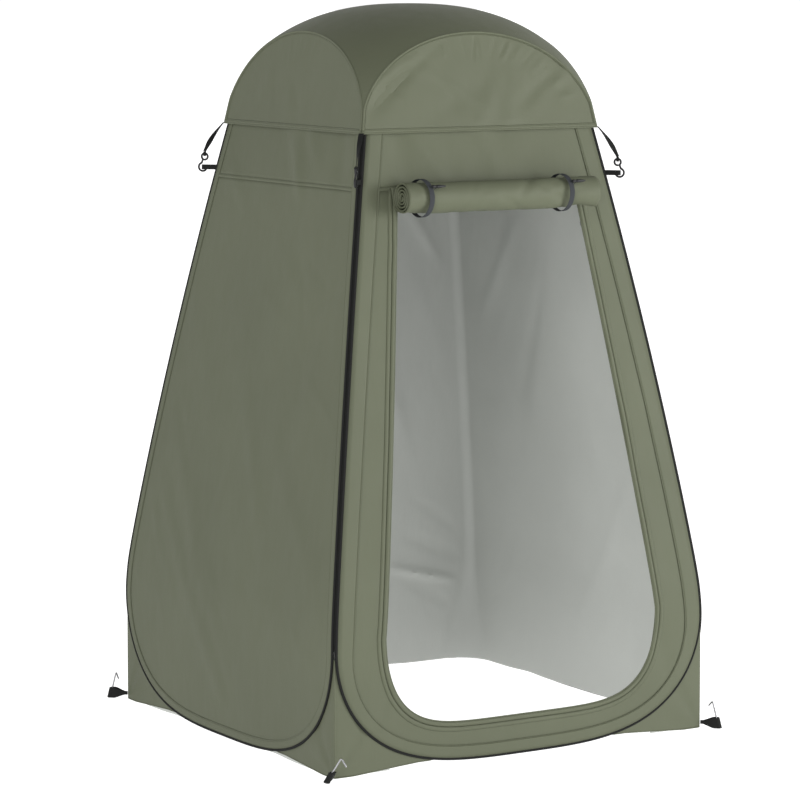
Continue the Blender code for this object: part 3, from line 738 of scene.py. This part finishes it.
shares, units = lining_plan()
low = np.minimum(np.abs(shares[:, 0]), np.abs(shares[:, 1]))
hem = 0.0030 + 0.004 * np.exp(-((low - 0.55) / 0.14) ** 2)
rise = np.linspace(0, 1, 128) ** 1.25
heights = hem + (HEM_Z - 0.004 - hem) * rise[:, None]
half = wall_half(heights) - LINING_BACK
round_off = LINING_TURN + FOOT_TURN * np.exp(-(heights / 0.17) ** 2)
plan = shares * (half - round_off)[..., None] + units * round_off[..., None]
on_side = {"left": plan[..., 1] * -1, "back": plan[..., 0] * -1, "right": plan[..., 1]}
owner = np.where(np.abs(shares[:, 1]) < 1, np.where(shares[:, 0] < 0, "left", "right"), "back")
relief = np.zeros(heights.shape)
DEEP = {"back": [(-0.42, 1.30, 62, 0.20, 0.020, 0.0032), (-0.30, 1.36, 50, 0.16, 0.018, -0.0030),
                 (-0.50, 0.34, 22, 0.13, 0.014, 0.0040), (-0.44, 0.27, 14, 0.15, 0.012, -0.0038),
                 (-0.47, 0.20, 30, 0.12, 0.012, 0.0036), (-0.10, 0.60, 80, 0.30, 0.030, 0.0030),
                 (-0.25, 0.90, 70, 0.25, 0.024, -0.0024), (-0.46, 0.46, 35, 0.10, 0.010, 0.0024)],
        "right": [(0.10, 1.05, -60, 0.20, 0.022, 0.0018), (-0.22, 0.42, 40, 0.05, 0.006, 0.0012),
                  (0.22, 1.25, -48, 0.20, 0.022, -0.0020)],
        "left": [(0.1, 0.9, 60, 0.2, 0.02, 0.002)]}
for side, sideways in on_side.items():
    lines = np.concatenate([WALL_CREASES[side] * (1, 1, 1, 1, 1, 0.9),
                            np.array(DEEP[side]) * (1, 1, 1, 1, 1, 2.2)])
    here = creases(sideways, heights, lines) * calm(sideways, heights)
    relief = np.where(owner == side, np.minimum(here, 0.0018), relief)
plan = plan + units * relief[..., None]
grid = np.concatenate([plan, heights[..., None]], axis=-1)
lining = cloth("silver_lining_sheet", [grid], thick=0.0004, inside=silver, outside=silver,
               uvs=[metres(grid)])
print("lining points:", grid.shape[0] * grid.shape[1])

# %% [markdown]
# ## Corner pieces
# Below the rounded feet of the hoops a triangular piece of cloth carries each corner down to
# the ground. It folds round the corner line with a pinched seam and tucks behind both bindings.
# Its grid runs round the corner in plan and from its hem up to the hoops.

# %% Corner pieces
GUSSET_REACH = 0.315


def corner_piece(quarter):
    """Legs follow a softened fold: leg = (p + sqrt(p^2 + e^2)) / 2, so the edge is round."""
    p = np.concatenate([-np.geomspace(GUSSET_REACH, 0.001, 44), [0],
                        np.geomspace(0.001, GUSSET_REACH, 44)])
    sideways = np.clip((BASE_HALF - np.abs(p)) / (BASE_HALF - CORNER_GAP), 0, 1)
    top = FOOT_TOP - (FOOT_TOP - FOOT_Z) * np.sqrt(1 - sideways ** FOOT_POWER) + 0.002
    top = np.where(np.abs(p) < 0.035, np.minimum(top, 0.318), top)
    hem = np.interp(np.abs(p), [0, 0.06, 0.12, 0.19, 0.26, 0.40],
                    [0.0004, 0.0004, 0.0045, 0.0095, 0.0145, 0.0150])
    top = np.maximum(top, hem + 0.0005)
    up = hem + (top - hem) * np.linspace(0, 1, 30)[:, None]
    softness = 0.007
    near, far = (0.5 * (s * p + np.hypot(p, softness)) for s in (1, -1))
    half = wall_half(up) - 0.0016
    reach = np.hypot(p, up)
    toward = np.arctan2(up, np.abs(p))
    fold = np.exp(-((toward - 0.62) / 0.16) ** 2) - 0.8 * np.exp(-((toward - 0.98) / 0.13) ** 2)
    relief = 0.0028 * fold * smoothstep(reach / 0.10) * smoothstep((0.34 - reach) / 0.2)
    relief = relief * smoothstep(np.abs(p) / 0.03)
    pinch = 0.0016 * np.exp(-(p / 0.0028) ** 2)
    relief = np.minimum(relief, 0.0014) + pinch
    x = half - near + relief * np.where(p > 0, 0.15, 1.0)
    y = -(half - far) - relief * np.where(p > 0, 1.0, 0.15)
    grid = np.stack([x, y, up], axis=-1)
    flat = np.stack([np.broadcast_to(p, up.shape), up], axis=-1)
    return grid @ TURNS[quarter].T, flat


def hem_roll(quarter, corner):
    """The corner piece's hem: a narrow rolled edge along its foot."""
    p = np.linspace(-0.30, 0.30, 121)
    near, far = (0.5 * (s * p + np.hypot(p, 0.007)) for s in (1, -1))
    up = np.interp(np.abs(p), [0, 0.06, 0.12, 0.19, 0.26, 0.40],
                   [0.0014, 0.0014, 0.0055, 0.0105, 0.0150, 0.0155])
    half = wall_half(up) - 0.0016
    path = np.stack([half - near, -(half - far), up], axis=-1)
    return tube(f"corner_hem_{corner}", path @ TURNS[quarter].T, ring(0.0013, 8), olive,
                "tent", (0, 0, 1))


for quarter, corner in enumerate(CORNERS):
    grid, flat = corner_piece(quarter)
    piece = cloth(f"corner_cloth_{corner}", [grid], thick=0.0008, uvs=[flat])
    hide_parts(f"gusset_{corner}")
    hem_roll(quarter, corner)
print("corner pieces made")

# %% [markdown]
# ## The rain cap
# The cap is four flat half-moons and a round crown. At any height its section is a circle cut
# by a leaning square: where the circle is wider than the square there are four flats with arcs
# at the corners, and above the tops of the half-moons only the circle is left. The rows of the
# crown and of the half-moons share their heights, so they meet exactly along the arches.

# %% Cap cloth
CORNER_RADIUS = math.sqrt(2) * (float(wall_half(HEM_Z)) + CAP_OUT)


def crown(level):
    """Radius and height of the crown at a level from 0, the hem, to a quarter turn, the top."""
    radius = CORNER_RADIUS * np.cos(level)
    share = (1 - np.clip(np.cos(level), 0, 1) ** 2.4) ** (1 / 1.6)
    return radius, HEM_Z + CROWN_RISE * share


def arch_top():
    """The level where the crown's circle becomes as small as the square, found by halving."""
    low, high = 0.3, 1.5
    for _ in range(50):
        middle = (low + high) / 2
        radius, z = crown(middle)
        low, high = (middle, high) if radius > wall_half(z) + CAP_OUT else (low, middle)
    return low


ARCH_LEVEL = arch_top()
levels = ARCH_LEVEL * (1 - (1 - np.linspace(0, 1, 56)) ** 1.8)
radius, z = crown(levels)
flat_half = wall_half(z) + CAP_OUT
spread = np.minimum(np.arccos(np.clip(flat_half / radius, 0, 1)), np.pi / 4)
spread[-1] = 0.0
radius = flat_half / np.cos(spread)
upper = ARCH_LEVEL + (np.pi / 2 - ARCH_LEVEL) * np.linspace(0, 1, 46)[1:]
upper_radius, upper_z = crown(upper)
upper_radius[-1] = 0.0
turn = np.linspace(0, 1, 61)
all_radius = np.concatenate([radius, upper_radius])[:, None]
all_z = np.concatenate([z, upper_z])[:, None] + 0 * turn
start = np.concatenate([spread, np.zeros(45)])[:, None]
bearing = -np.pi / 2 + start + (np.pi / 2 - 2 * start) * turn
crown_grid = np.stack([all_radius * np.cos(bearing), all_radius * np.sin(bearing), all_z], axis=-1)
moon_z = np.concatenate([[HEM_Z - CAP_DROP, HEM_Z - 0.6 * CAP_DROP, HEM_Z - 0.3 * CAP_DROP], z])
moon_half = np.concatenate([wall_half(moon_z[:3]) + CAP_OUT, radius * np.sin(spread)])
moon_s = moon_half[:, None] * np.linspace(-1, 1, 91)


def moon_puckers(quarter, sideways, up):
    """Short puckers that start at the arch's seam and point at the middle of the half-moon."""
    rng = np.random.default_rng(40 + quarter)
    at = np.radians(np.linspace(14, 166, 26) + rng.uniform(-3, 3, 26))
    x, zz = 0.300 * np.cos(at), HEM_Z + 0.030 + 0.185 * np.sin(at)
    toward = np.degrees(np.arctan2(zz - 1.70, x)) + rng.uniform(-14, 14, 26)
    lines = np.stack([x, zz, toward, rng.uniform(0.014, 0.042, 26), rng.uniform(0.004, 0.008, 26),
                      0.0028 * rng.uniform(-1, 1, 26)], axis=-1)
    broad = scattered(60 + quarter, 12, (-0.28, 0.28, 1.72, 1.88), 0.0045) * (1, 1, 1, 0.7, 1.8, 1)
    return creases(sideways, up, np.concatenate([lines, broad])) * (1, 0.4, 0.5, 0.3)[quarter]


moon_up = np.broadcast_to(moon_z[:, None], moon_s.shape)
rim_fade = smoothstep((moon_half[:, None] - np.abs(moon_s)) / 0.02) * smoothstep(
    (moon_up - HEM_Z) / 0.02) * smoothstep((z[-1] - moon_up) / 0.02)
grids, maps = [], []
for quarter in range(4):
    relief = moon_puckers(quarter, moon_s, moon_up) * rim_fade
    moon = np.stack([moon_s, -(wall_half(moon_up) + CAP_OUT + relief), moon_up], axis=-1)
    grids += [moon @ TURNS[quarter].T, crown_grid @ TURNS[quarter].T]
    maps += [np.stack([moon_s, moon_up], axis=-1), crown_grid[..., :2]]
cap = cloth("rain_cap_cloth", grids, "cap", thick=0.0012, outside=olive_cap, uvs=maps,
            centre=(0, 0, 1.72))
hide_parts("rain_cap")
print("cap rows:", len(moon_z), "top of the arches at", round(float(z[-1]), 3))

# %% [markdown]
# ## The cap's seams
# A raised seam follows each arch, with a furrow of stitching on either side, and the hem is
# turned up and stitched twice. Both are thin strips laid on the cap, because a strip keeps its
# crisp edge where a bump would not.

# %% Seams of the cap


def cap_strip(name, outer, inner, outs, quarter):
    """A strip on a cap's flat, between two curves in the wall's coordinates."""
    flat = outer[:, None] + (inner - outer)[:, None] * np.linspace(0, 1, len(outs))[:, None]
    grid = on_wall(flat[..., 0], flat[..., 1], CAP_OUT + np.asarray(outs))
    return cloth(name, [grid @ TURNS[quarter].T], "cap", thick=0.0006, outside=olive_cap,
                 inside=olive_cap, uvs=[flat])


arch_right = np.stack([radius * np.sin(spread), z], axis=-1)
arch_curve = resample(np.concatenate([arch_right, arch_right[-2::-1] * (-1, 1)]), 150)
for quarter, side in enumerate(SIDES):
    inner = inset(arch_curve, 0.0105)
    cap_strip(f"cap_arch_seam_{side}", arch_curve, inner,
                           [0.0008, 0.0026, 0.0032, 0.0032, 0.0024, 0.0004, 0.0014, 0.0003],
                           quarter)
    x = np.linspace(-1, 1, 60)
    low, high = HEM_Z - CAP_DROP - 0.0004, HEM_Z + 0.0035
    bottom = np.stack([x * (wall_half(low) + CAP_OUT + 0.0008), np.full(60, low)], axis=-1)
    top = np.stack([x * (wall_half(high) + CAP_OUT - 0.001), np.full(60, high)], axis=-1)
    cap_strip(f"cap_hem_{side}", bottom, top,
                           [0.0010, 0.0016, 0.0016, 0.0006, 0.0015, 0.0017, 0.0016, 0.0005,
                            0.0012, 0.0003], quarter)

# %% [markdown]
# ## The roof net
# Under the cap a net closes the tent's top, and the steam leaves through it. Thousands of real
# threads would be wasted under the cap, so it is one thin sheet whose finish has holes.

# %% Roof net


def net_finish():
    """Black net: opaque where either of two crossing waves is high, and clear between them."""
    finish = Finish("roof_net_finish", 0.8)
    x, y, _ = finish.parts(finish.place("Object"))
    threads = x.wave(0.0036).maths("MAXIMUM", y.wave(0.0036))
    finish.feed(Alpha=threads.fade(0.62, 0.72),
                Base_Color=finish.blend(threads, (0.012, 0.012, 0.012), (0.03, 0.03, 0.03)))
    return finish.material


NET_DROP, NET_INSET = 0.0175, 0.0105
bearing = np.linspace(0, 2 * np.pi, 97)
flatness = np.maximum(np.abs(np.cos(bearing)), np.abs(np.sin(bearing)))


def net_rows():
    """The crown again, a little smaller, cut where it passes the walls' own arches."""
    shrink = (CORNER_RADIUS - NET_DROP) / CORNER_RADIUS
    dense = np.linspace(0.2, np.pi / 2, 700)
    r, zz = crown(dense)
    r, zz = r * shrink, HEM_Z + (zz - HEM_Z) * (CROWN_RISE - NET_DROP) / CROWN_RISE
    inside = r[:, None] <= (wall_half(zz) - NET_INSET)[:, None] / flatness
    first = np.maximum(inside.argmax(0), np.searchsorted(zz, HEM_Z + 0.09))
    at = first + (len(dense) - 1 - first) * np.linspace(0, 1, 40)[:, None]
    rr = np.interp(at, np.arange(len(dense)), r)
    rr[-1] = 0.0
    zz = np.interp(at, np.arange(len(dense)), zz)
    return np.stack([rr * np.cos(bearing), rr * np.sin(bearing), zz], axis=-1)


net_material = net_finish()
grid = net_rows()
net = cloth("roof_net_sheet", [grid], thick=0.0004, outside=net_material, inside=net_material,
            uvs=[grid[..., :2]], centre=(0, 0, 1.5))
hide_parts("roof_net")
print("net made")

# %% [markdown]
# ## Straps, hooks and corner loops
# Each corner of the cap's hem carries a strap of webbing that twists a quarter turn on its way
# down to a plastic S-hook, which holds a webbing loop on the tent's corner. All of them lie in
# the plane of the corner's diagonal, so they are drawn there and turned to each corner.

# %% Corner fittings
STRAP_TOP, STRAP_FOOT, STRAP_BULGE = (0.5405, 1.6840), (0.5975, 1.6010), 0.004
STRAP_WIDTH, STRAP_THICK = 0.0145, 0.0017
EYE, EYE_RADIUS = (0.5970, 1.5865), 0.0090
CURL, CURL_RADIUS, HOOK_WIRE = (0.6030, 1.5570), 0.0118, 0.0028
LOOP_ROOT, LOOP_TIP, LOOP_LOW, LOOP_HEIGHT = 0.5670, 0.6060, 1.5500, 0.0138
LOOP_HALF, LOOP_BAND = 0.0048, 0.0013


def diagonal(distance, z, across=0.0):
    """A point in the plane of the front-right corner's diagonal, or across from it."""
    distance, z, across = np.broadcast_arrays(distance, z, across)
    root = math.sqrt(0.5)
    return np.stack([(distance + across) * root, (across - distance) * root, z], axis=-1)


def strap_path():
    """The strap's middle line and the direction across its width at each point."""
    share = np.linspace(0, 1, 40)
    start, end = np.array(STRAP_TOP), np.array(STRAP_FOOT)
    along = (end - start) / np.linalg.norm(end - start)
    side = np.array([-along[1], along[0]])
    middle = start + (end - start) * share[:, None]
    middle = middle + side * (STRAP_BULGE * 4 * share * (1 - share))[:, None]
    twist = np.radians(75) * smoothstep(share)
    width_dir = diagonal(side[0] * np.sin(twist), side[1] * np.sin(twist), np.cos(twist))
    return diagonal(middle[:, 0], middle[:, 1]), width_dir


def hook_path():
    """An eye bent nearly shut, then a curl that faces the other way."""
    first = np.radians(np.linspace(-72, -415, 40))
    second = np.radians(np.linspace(75, -175, 40))
    path = np.concatenate([np.stack([EYE[0] + EYE_RADIUS * np.cos(first),
                                     EYE[1] + EYE_RADIUS * np.sin(first)], axis=-1),
                           np.stack([CURL[0] + CURL_RADIUS * np.cos(second),
                                     CURL[1] + CURL_RADIUS * np.sin(second)], axis=-1)])
    return resample(path, 110)


def loop_path(root, tip, half, count=60):
    """A webbing loop in plan: out along one side, round the tip and back."""
    bend = np.radians(np.linspace(90, -90, 22))
    line = np.concatenate([[(root, half)], np.stack([tip - half + half * np.cos(bend),
                                                     half * np.sin(bend)], axis=-1),
                           [(root, -half)]])
    return resample(line, count)


FLAT_LINE = diagonal(0.0, 0.0, 1.0)
for quarter, corner in enumerate(CORNERS):
    turned = TURNS[quarter].T
    path, width_dir = strap_path()
    gather = 1 - 0.42 * smoothstep((np.linspace(0, 1, 40) - 0.62) / 0.38)
    profile = strap_profile(STRAP_THICK, STRAP_WIDTH)[None] * np.stack(
        [np.ones(40), gather], axis=-1)[:, None]
    piece = tube(f"strap_webbing_{corner}", path @ turned, profile, webbing,
                 f"strap_{corner}", width_dir @ turned)
    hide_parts(f"cap_strap_{corner}")
    oval = np.radians(np.linspace(0, 360, 36, endpoint=False))
    sewn = diagonal(EYE[0], EYE[1] + EYE_RADIUS - 0.0013 + 0.0060 * np.sin(oval),
                    0.0043 * np.cos(oval))
    tube(f"strap_end_{corner}", sewn @ turned, strap_profile(0.0014, 0.0070), webbing,
               f"strap_{corner}", diagonal(1.0, 0.0) @ turned, closed=True)
    line = hook_path()
    fat = 1 + 0.25 * np.exp(-((np.linspace(0, 1, 110) - 1) / 0.02) ** 2)
    fat[[0, -1]] = 0.55
    piece = tube(f"hook_{corner}_moulding", diagonal(line[:, 0], line[:, 1]) @ turned,
                 ring(HOOK_WIRE + 0.0001, 14, 0.9), hook_plastic, f"hook_{corner}",
                 FLAT_LINE @ turned, scale=fat)
    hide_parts(f"s_hook_{corner}")
    line = loop_path(LOOP_ROOT - 0.014, LOOP_TIP - LOOP_BAND / 2, LOOP_HALF - LOOP_BAND / 2)
    points = diagonal(line[:, 0], LOOP_LOW + LOOP_HEIGHT / 2, line[:, 1])
    piece = tube(f"corner_webbing_{corner}", points @ turned,
                 strap_profile(LOOP_BAND, LOOP_HEIGHT), webbing, "tent",
                 (0, 0, 1))
    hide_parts(f"corner_loop_{corner}")
print("corner fittings made")

# %% [markdown]
# ## Stakes and their tabs
# A webbing tab at each corner of the foot is pinched where it is sewn and opens into an eye. A
# bent wire stake stands in the eye. Each was pushed in by hand, so each leans its own way.

# %% Stakes and tabs
STAKE_LEANS = {"front_right": (0, 14, 45), "back_right": (31, 4, 90),
               "back_left": (0, 14, 45), "front_left": (31, 4, 90)}
STAKE_RADIUS, STAKE_SHAFT, STAKE_ARM, ARM_ANGLE = 0.0022, 0.078, 0.027, math.radians(62)
TAB_LENGTH, TAB_HEIGHT, TAB_PINCH, TAB_BOTTOM = 0.052, 0.030, 0.010, 0.001
TAB_BAND, TAB_EYE, GAP = 0.0018, 0.0090, 0.0004
CORNER_OUT = math.sqrt(2) * (BASE_HALF - 0.00028 + 0.0015)


def stake_points(corner):
    """The stake's middle line from its tip, up the shaft, round the bend and along the arm."""
    sideways, outward = (math.tan(math.radians(a)) for a in STAKE_LEANS[corner][:2])
    shaft = unit(diagonal(-outward, 1.0, sideways))
    middle = diagonal(CORNER_OUT + TAB_LENGTH - TAB_EYE, TAB_BOTTOM + TAB_HEIGHT / 2)
    tip_z = STAKE_RADIUS * math.sqrt(1 - shaft[2] ** 2) + GAP
    tip = middle - shaft * ((middle[2] - tip_z) / shaft[2])
    top = tip + shaft * STAKE_SHAFT
    heading = math.radians(STAKE_LEANS[corner][2])
    away = diagonal(-math.cos(heading), 0.0, math.sin(heading))
    level = unit(away - shaft * away.dot(shaft))
    arm = -shaft * math.cos(ARM_ANGLE) + level * math.sin(ARM_ANGLE)
    bend = np.linspace(0, 1, 12)[:, None]
    knee = 0.007
    low, high = top - shaft * knee, top + arm * knee
    curve = low * (1 - bend) ** 2 + 2 * top * bend * (1 - bend) + high * bend ** 2
    shaft_run = tip + (low - tip) * np.linspace(0, 1, 26)[:-1, None]
    arm_run = high + (top + arm * STAKE_ARM - high) * np.linspace(0, 1, 9)[1:, None]
    return np.concatenate([shaft_run, curve, arm_run]), shaft, middle, np.cross(shaft, level)


for quarter, corner in enumerate(CORNERS):
    turned = TURNS[quarter].T
    points, shaft, middle, across = stake_points(corner)
    grow = np.ones(len(points))
    grow[:4], grow[-1] = (0.12, 0.5, 0.8, 0.97), 0.8
    piece = tube(f"stake_wire_{corner}", points @ turned, ring(STAKE_RADIUS, 14), steel,
                 f"peg_{corner}", across @ turned, scale=grow)
    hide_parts(f"stake_{corner}")
    line = loop_path(CORNER_OUT - 0.006, CORNER_OUT + TAB_LENGTH - TAB_BAND / 2,
                     TAB_EYE - TAB_BAND / 2, 90)
    share = np.clip((line[:, 0] - CORNER_OUT) / (TAB_LENGTH * 0.62), 0, 1)
    share = 0.6 * share + 0.4 * smoothstep(share)
    height = TAB_PINCH + (TAB_HEIGHT - TAB_PINCH) * share
    centre = TAB_BOTTOM + TAB_HEIGHT / 2
    path = diagonal(line[:, 0], centre, line[:, 1] * (0.30 + 0.70 * share))
    lean = unit(np.array([0, 0, 1.0]) + np.array([shaft[0], shaft[1], 0.0]) / shaft[2]
                * share[:, None])
    profile = strap_profile(TAB_BAND, 1.0)[None] * np.stack(
        [np.ones(90), height], axis=-1)[:, None]
    piece = tube(f"stake_webbing_{corner}", path @ turned, profile, webbing,
                 "tent", lean @ turned)
    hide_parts(f"stake_tab_{corner}")
print("stakes and tabs made")

# %% [markdown]
# ## The rolled-up door
# The door is rolled up and tied under the seam above the doorway. Its end shows the turns of
# the roll with dark gaps between them, so it is a real spiral: one sheet that hangs from the
# seam, passes behind the roll and winds inwards, drawn along its length.

# %% Door roll
ROLL_Y, ROLL_Z, ROLL_LEFT, ROLL_RIGHT = -0.4620, 1.514, -0.306, 0.311
ROLL_RADIUS, ROLL_CORE, ROLL_TURNS, ROLL_CLOTH = 0.0464, 0.0060, 4.6, 0.0036
TIE_X = (-0.245, 0.205)


def roll_section():
    """The spiral: radius falls evenly with angle. The angle runs from straight ahead upwards."""
    angle = np.radians(178) + 2 * np.pi * ROLL_TURNS * np.linspace(0, 1, 300)
    radius = ROLL_RADIUS + (ROLL_CORE - ROLL_RADIUS) * np.linspace(0, 1, 300)
    return angle, radius


def make_roll():
    angle, radius = roll_section()
    along = np.linspace(0, 1, 84)
    along = 0.5 - 0.5 * np.sign(1 - 2 * along) * np.abs(1 - 2 * along) ** 0.85
    x = ROLL_LEFT + (ROLL_RIGHT - ROLL_LEFT) * along
    flare = 0.0006 * (2 * along - 1) ** 6 - 0.0004 * (1 - (2 * along - 1) ** 2)
    pinch = sum(0.0016 * np.exp(-((x - tie) / 0.014) ** 2) for tie in TIE_X)
    lumps = creases(angle[:, None] * 0.044 + 0 * x, x + 0 * angle[:, None], np.concatenate([
        scattered(5, 46, (0.13, 0.50, -0.28, 0.28), 0.0085) * (1, 1, 1, 0.6, 1.0, 1)]))
    lumps = np.minimum(lumps, 0.0012)
    outermost = np.exp(-(angle - angle[0]) / 5.0)[:, None]
    wobble = 0.0005 * np.sin(3 * angle + 0.8)[:, None] * np.cos(9 * x + 1)
    r = radius[:, None] + flare - pinch + (lumps * outermost) + wobble * outermost
    grid = np.stack([x + 0 * r, ROLL_Y - r * np.cos(angle)[:, None],
                     ROLL_Z + r * np.sin(angle)[:, None]], axis=-1)
    back = float(wall_half(SEAM_Z)) + 0.0035
    lead = np.linspace(0, 1, 10)[:-1, None, None]
    seam = np.stack([x, np.full(len(x), -back), np.full(len(x), SEAM_Z + 0.004)], axis=-1)
    drop = seam * (1 - lead) + grid[0] * lead
    return np.concatenate([drop, grid])


grid = make_roll()
flat = metres(grid)
piece = cloth("door_roll_cloth", [grid], thick=ROLL_CLOTH, inside=olive, uvs=[flat],
              centre=(0, ROLL_Y, ROLL_Z))
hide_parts("door_roll")

# %% [markdown]
# ## Ties and toggles
# A grey tape goes round the roll in two places and hangs a little slack below it. A cord loop
# on the tape catches a tapered toggle. The tape is a flat profile on an almost round path.

# %% Ties and toggles
TIE_INNER, TIE_TAPE, TIE_WIDTH = 0.0480, 0.0014, 0.0150
TOGGLE_RADIUS, TOGGLE_LENGTH, TOGGLE_TILT, TOGGLE_BACK = 0.0045, 0.044, math.radians(35), 0.010


def around_roll(x, radius, angle):
    """A point beside the roll: the angle runs from straight ahead towards up."""
    x, radius, angle = np.broadcast_arrays(x, radius, angle)
    return np.stack([x, ROLL_Y - radius * np.cos(angle), ROLL_Z + radius * np.sin(angle)],
                    axis=-1)


for side, x in zip(("left", "right"), TIE_X):
    angle = np.radians(np.linspace(0, 360, 90, endpoint=False))
    slack = 0.0042 * np.maximum(-np.sin(angle), 0) ** 2
    path = around_roll(x + 0.006 * np.cos(angle), TIE_INNER + TIE_TAPE / 2 + slack, angle)
    outward = around_roll(0, 1.0, angle) - (0, ROLL_Y, ROLL_Z)
    tape = tube(f"tie_tape_{side}", path, strap_profile(TIE_WIDTH, TIE_TAPE), tie_tape,
                "tent", outward, closed=True)
    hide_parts(f"roll_tie_{side}")
    near = x + 0.006 * math.cos(TOGGLE_TILT)
    turn = np.radians(np.linspace(0, 360, 48, endpoint=False))
    high = TIE_INNER + 0.0003
    loop = around_roll(near + 0.0095 + 0.0085 * np.cos(turn), high,
                       TOGGLE_TILT + 0.19 * np.sin(turn) * (1.3 - np.cos(turn)) / 2)
    tube(f"tie_cord_{side}", loop, ring(0.0010, 8), tie_tape, "tent",
         outward[9], closed=True)
    share = np.linspace(0, 1, 34)
    middle = x + 0.017 - TOGGLE_BACK + TOGGLE_LENGTH * share
    body_radius = TOGGLE_RADIUS * np.interp(
        share, [0, 0.02, 0.06, 0.16, 0.22, 0.28, 0.36, 0.6, 0.85, 0.97, 1],
        [0.30, 0.72, 0.95, 0.95, 0.66, 0.66, 1.0, 0.95, 0.66, 0.42, 0.15])
    path = around_roll(middle, TIE_INNER + TIE_TAPE + TOGGLE_RADIUS + 0.0004, TOGGLE_TILT)
    toggle = tube(f"toggle_{side}_moulding", path, ring(1.0, 16), hook_plastic,
                  f"toggle_{side}", outward[9], scale=body_radius)
    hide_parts(f"tie_toggle_{side}")
for side in ("left", "right"):
    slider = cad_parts[f"zip_slider_{side}"]
    slider.data.materials.clear()
    slider.data.materials.append(steel)
print("ties, toggles and sliders made")

# %% [markdown]
# ## Floor, light and camera
# The tent stands on a plain white floor. Soft light comes mostly from the front right, so the
# left wall and the crown fall darker, and a white room fills the rest. A long lens from well
# back keeps the upright lines nearly parallel.

# %% Stage


def plain_floor():
    finish = Finish("white_floor", 0.9, Emission_Strength=1.0)
    finish.feed(Base_Color=(0.5, 0.5, 0.5, 1), Emission_Color=(1, 1, 1, 1))
    return finish.material


FLOOR_HALF, FLOOR_Z = 120.0, -0.0006
floor_mesh = bpy.data.meshes.new("floor")
floor_mesh.from_pydata([(x * FLOOR_HALF, y * FLOOR_HALF, FLOOR_Z)
                        for x, y in ((-1, -1), (1, -1), (1, 1), (-1, 1))], [], [(0, 1, 2, 3)])
floor_mesh.materials.append(plain_floor())
floor = bpy.data.objects.new("floor", floor_mesh)
bpy.context.scene.collection.objects.link(floor)

world = bpy.data.worlds.new("white_room")
bpy.context.scene.world = world
world.use_nodes = True
sky = world.node_tree.nodes
links = world.node_tree.links
place = sky.new("ShaderNodeTexCoord")
split = sky.new("ShaderNodeSeparateXYZ")
fall = sky.new("ShaderNodeMapRange")
fall.interpolation_type = "SMOOTHSTEP"
for socket, value in (("From Min", 0.30), ("From Max", 1.00), ("To Min", 1.04), ("To Max", 0.22)):
    fall.inputs[socket].default_value = value
links.new(place.outputs["Generated"], split.inputs[0])
links.new(split.outputs["Z"], fall.inputs["Value"])
links.new(fall.outputs[0], sky["Background"].inputs["Strength"])
sky["Background"].inputs["Color"].default_value = (1.0, 1.0, 1.0, 1)


def soft_light(name, place, size, power, aim=(0, 0, 1.0)):
    data = bpy.data.lights.new(name, "AREA")
    data.shape, data.size, data.energy = "DISK", size, power
    light = bpy.data.objects.new(name, data)
    bpy.context.scene.collection.objects.link(light)
    direction = np.array(place) - np.array(aim)
    light.rotation_euler = (math.acos(direction[2] / np.linalg.norm(direction)), 0,
                            math.atan2(direction[1], direction[0]) + math.pi / 2)
    light.location = place


soft_light("key", (4.2, -5.2, 1.9), 3.0, 290)
soft_light("crown_fill", (-4.2, -4.6, 5.4), 1.5, 60, aim=(0, 0, 1.8))
soft_light("doorway_fill", (-5.0, -3.2, 0.7), 1.6, 60, aim=(0.5, -0.2, 0.5))

AZIMUTH, ELEVATION, DISTANCE = math.radians(-31.619), math.radians(6.923), 9.906
AIM_Z = 0.95
camera_data = bpy.data.cameras.new("camera")
camera_data.lens, camera_data.sensor_width = 157.2, 36.0
camera_data.shift_x, camera_data.shift_y = -0.0104, -0.0203
camera_data.clip_end = 400.0
camera = bpy.data.objects.new("camera", camera_data)
bpy.context.scene.collection.objects.link(camera)
flat_distance = DISTANCE * math.cos(ELEVATION)
camera.location = (flat_distance * math.sin(AZIMUTH), -flat_distance * math.cos(AZIMUTH),
                   AIM_Z + DISTANCE * math.sin(ELEVATION))
camera.rotation_euler = (math.pi / 2 - ELEVATION, 0, AZIMUTH)
bpy.context.scene.camera = camera
bpy.context.scene.view_settings.view_transform = "Standard"
print("camera at", [round(v, 3) for v in camera.location])
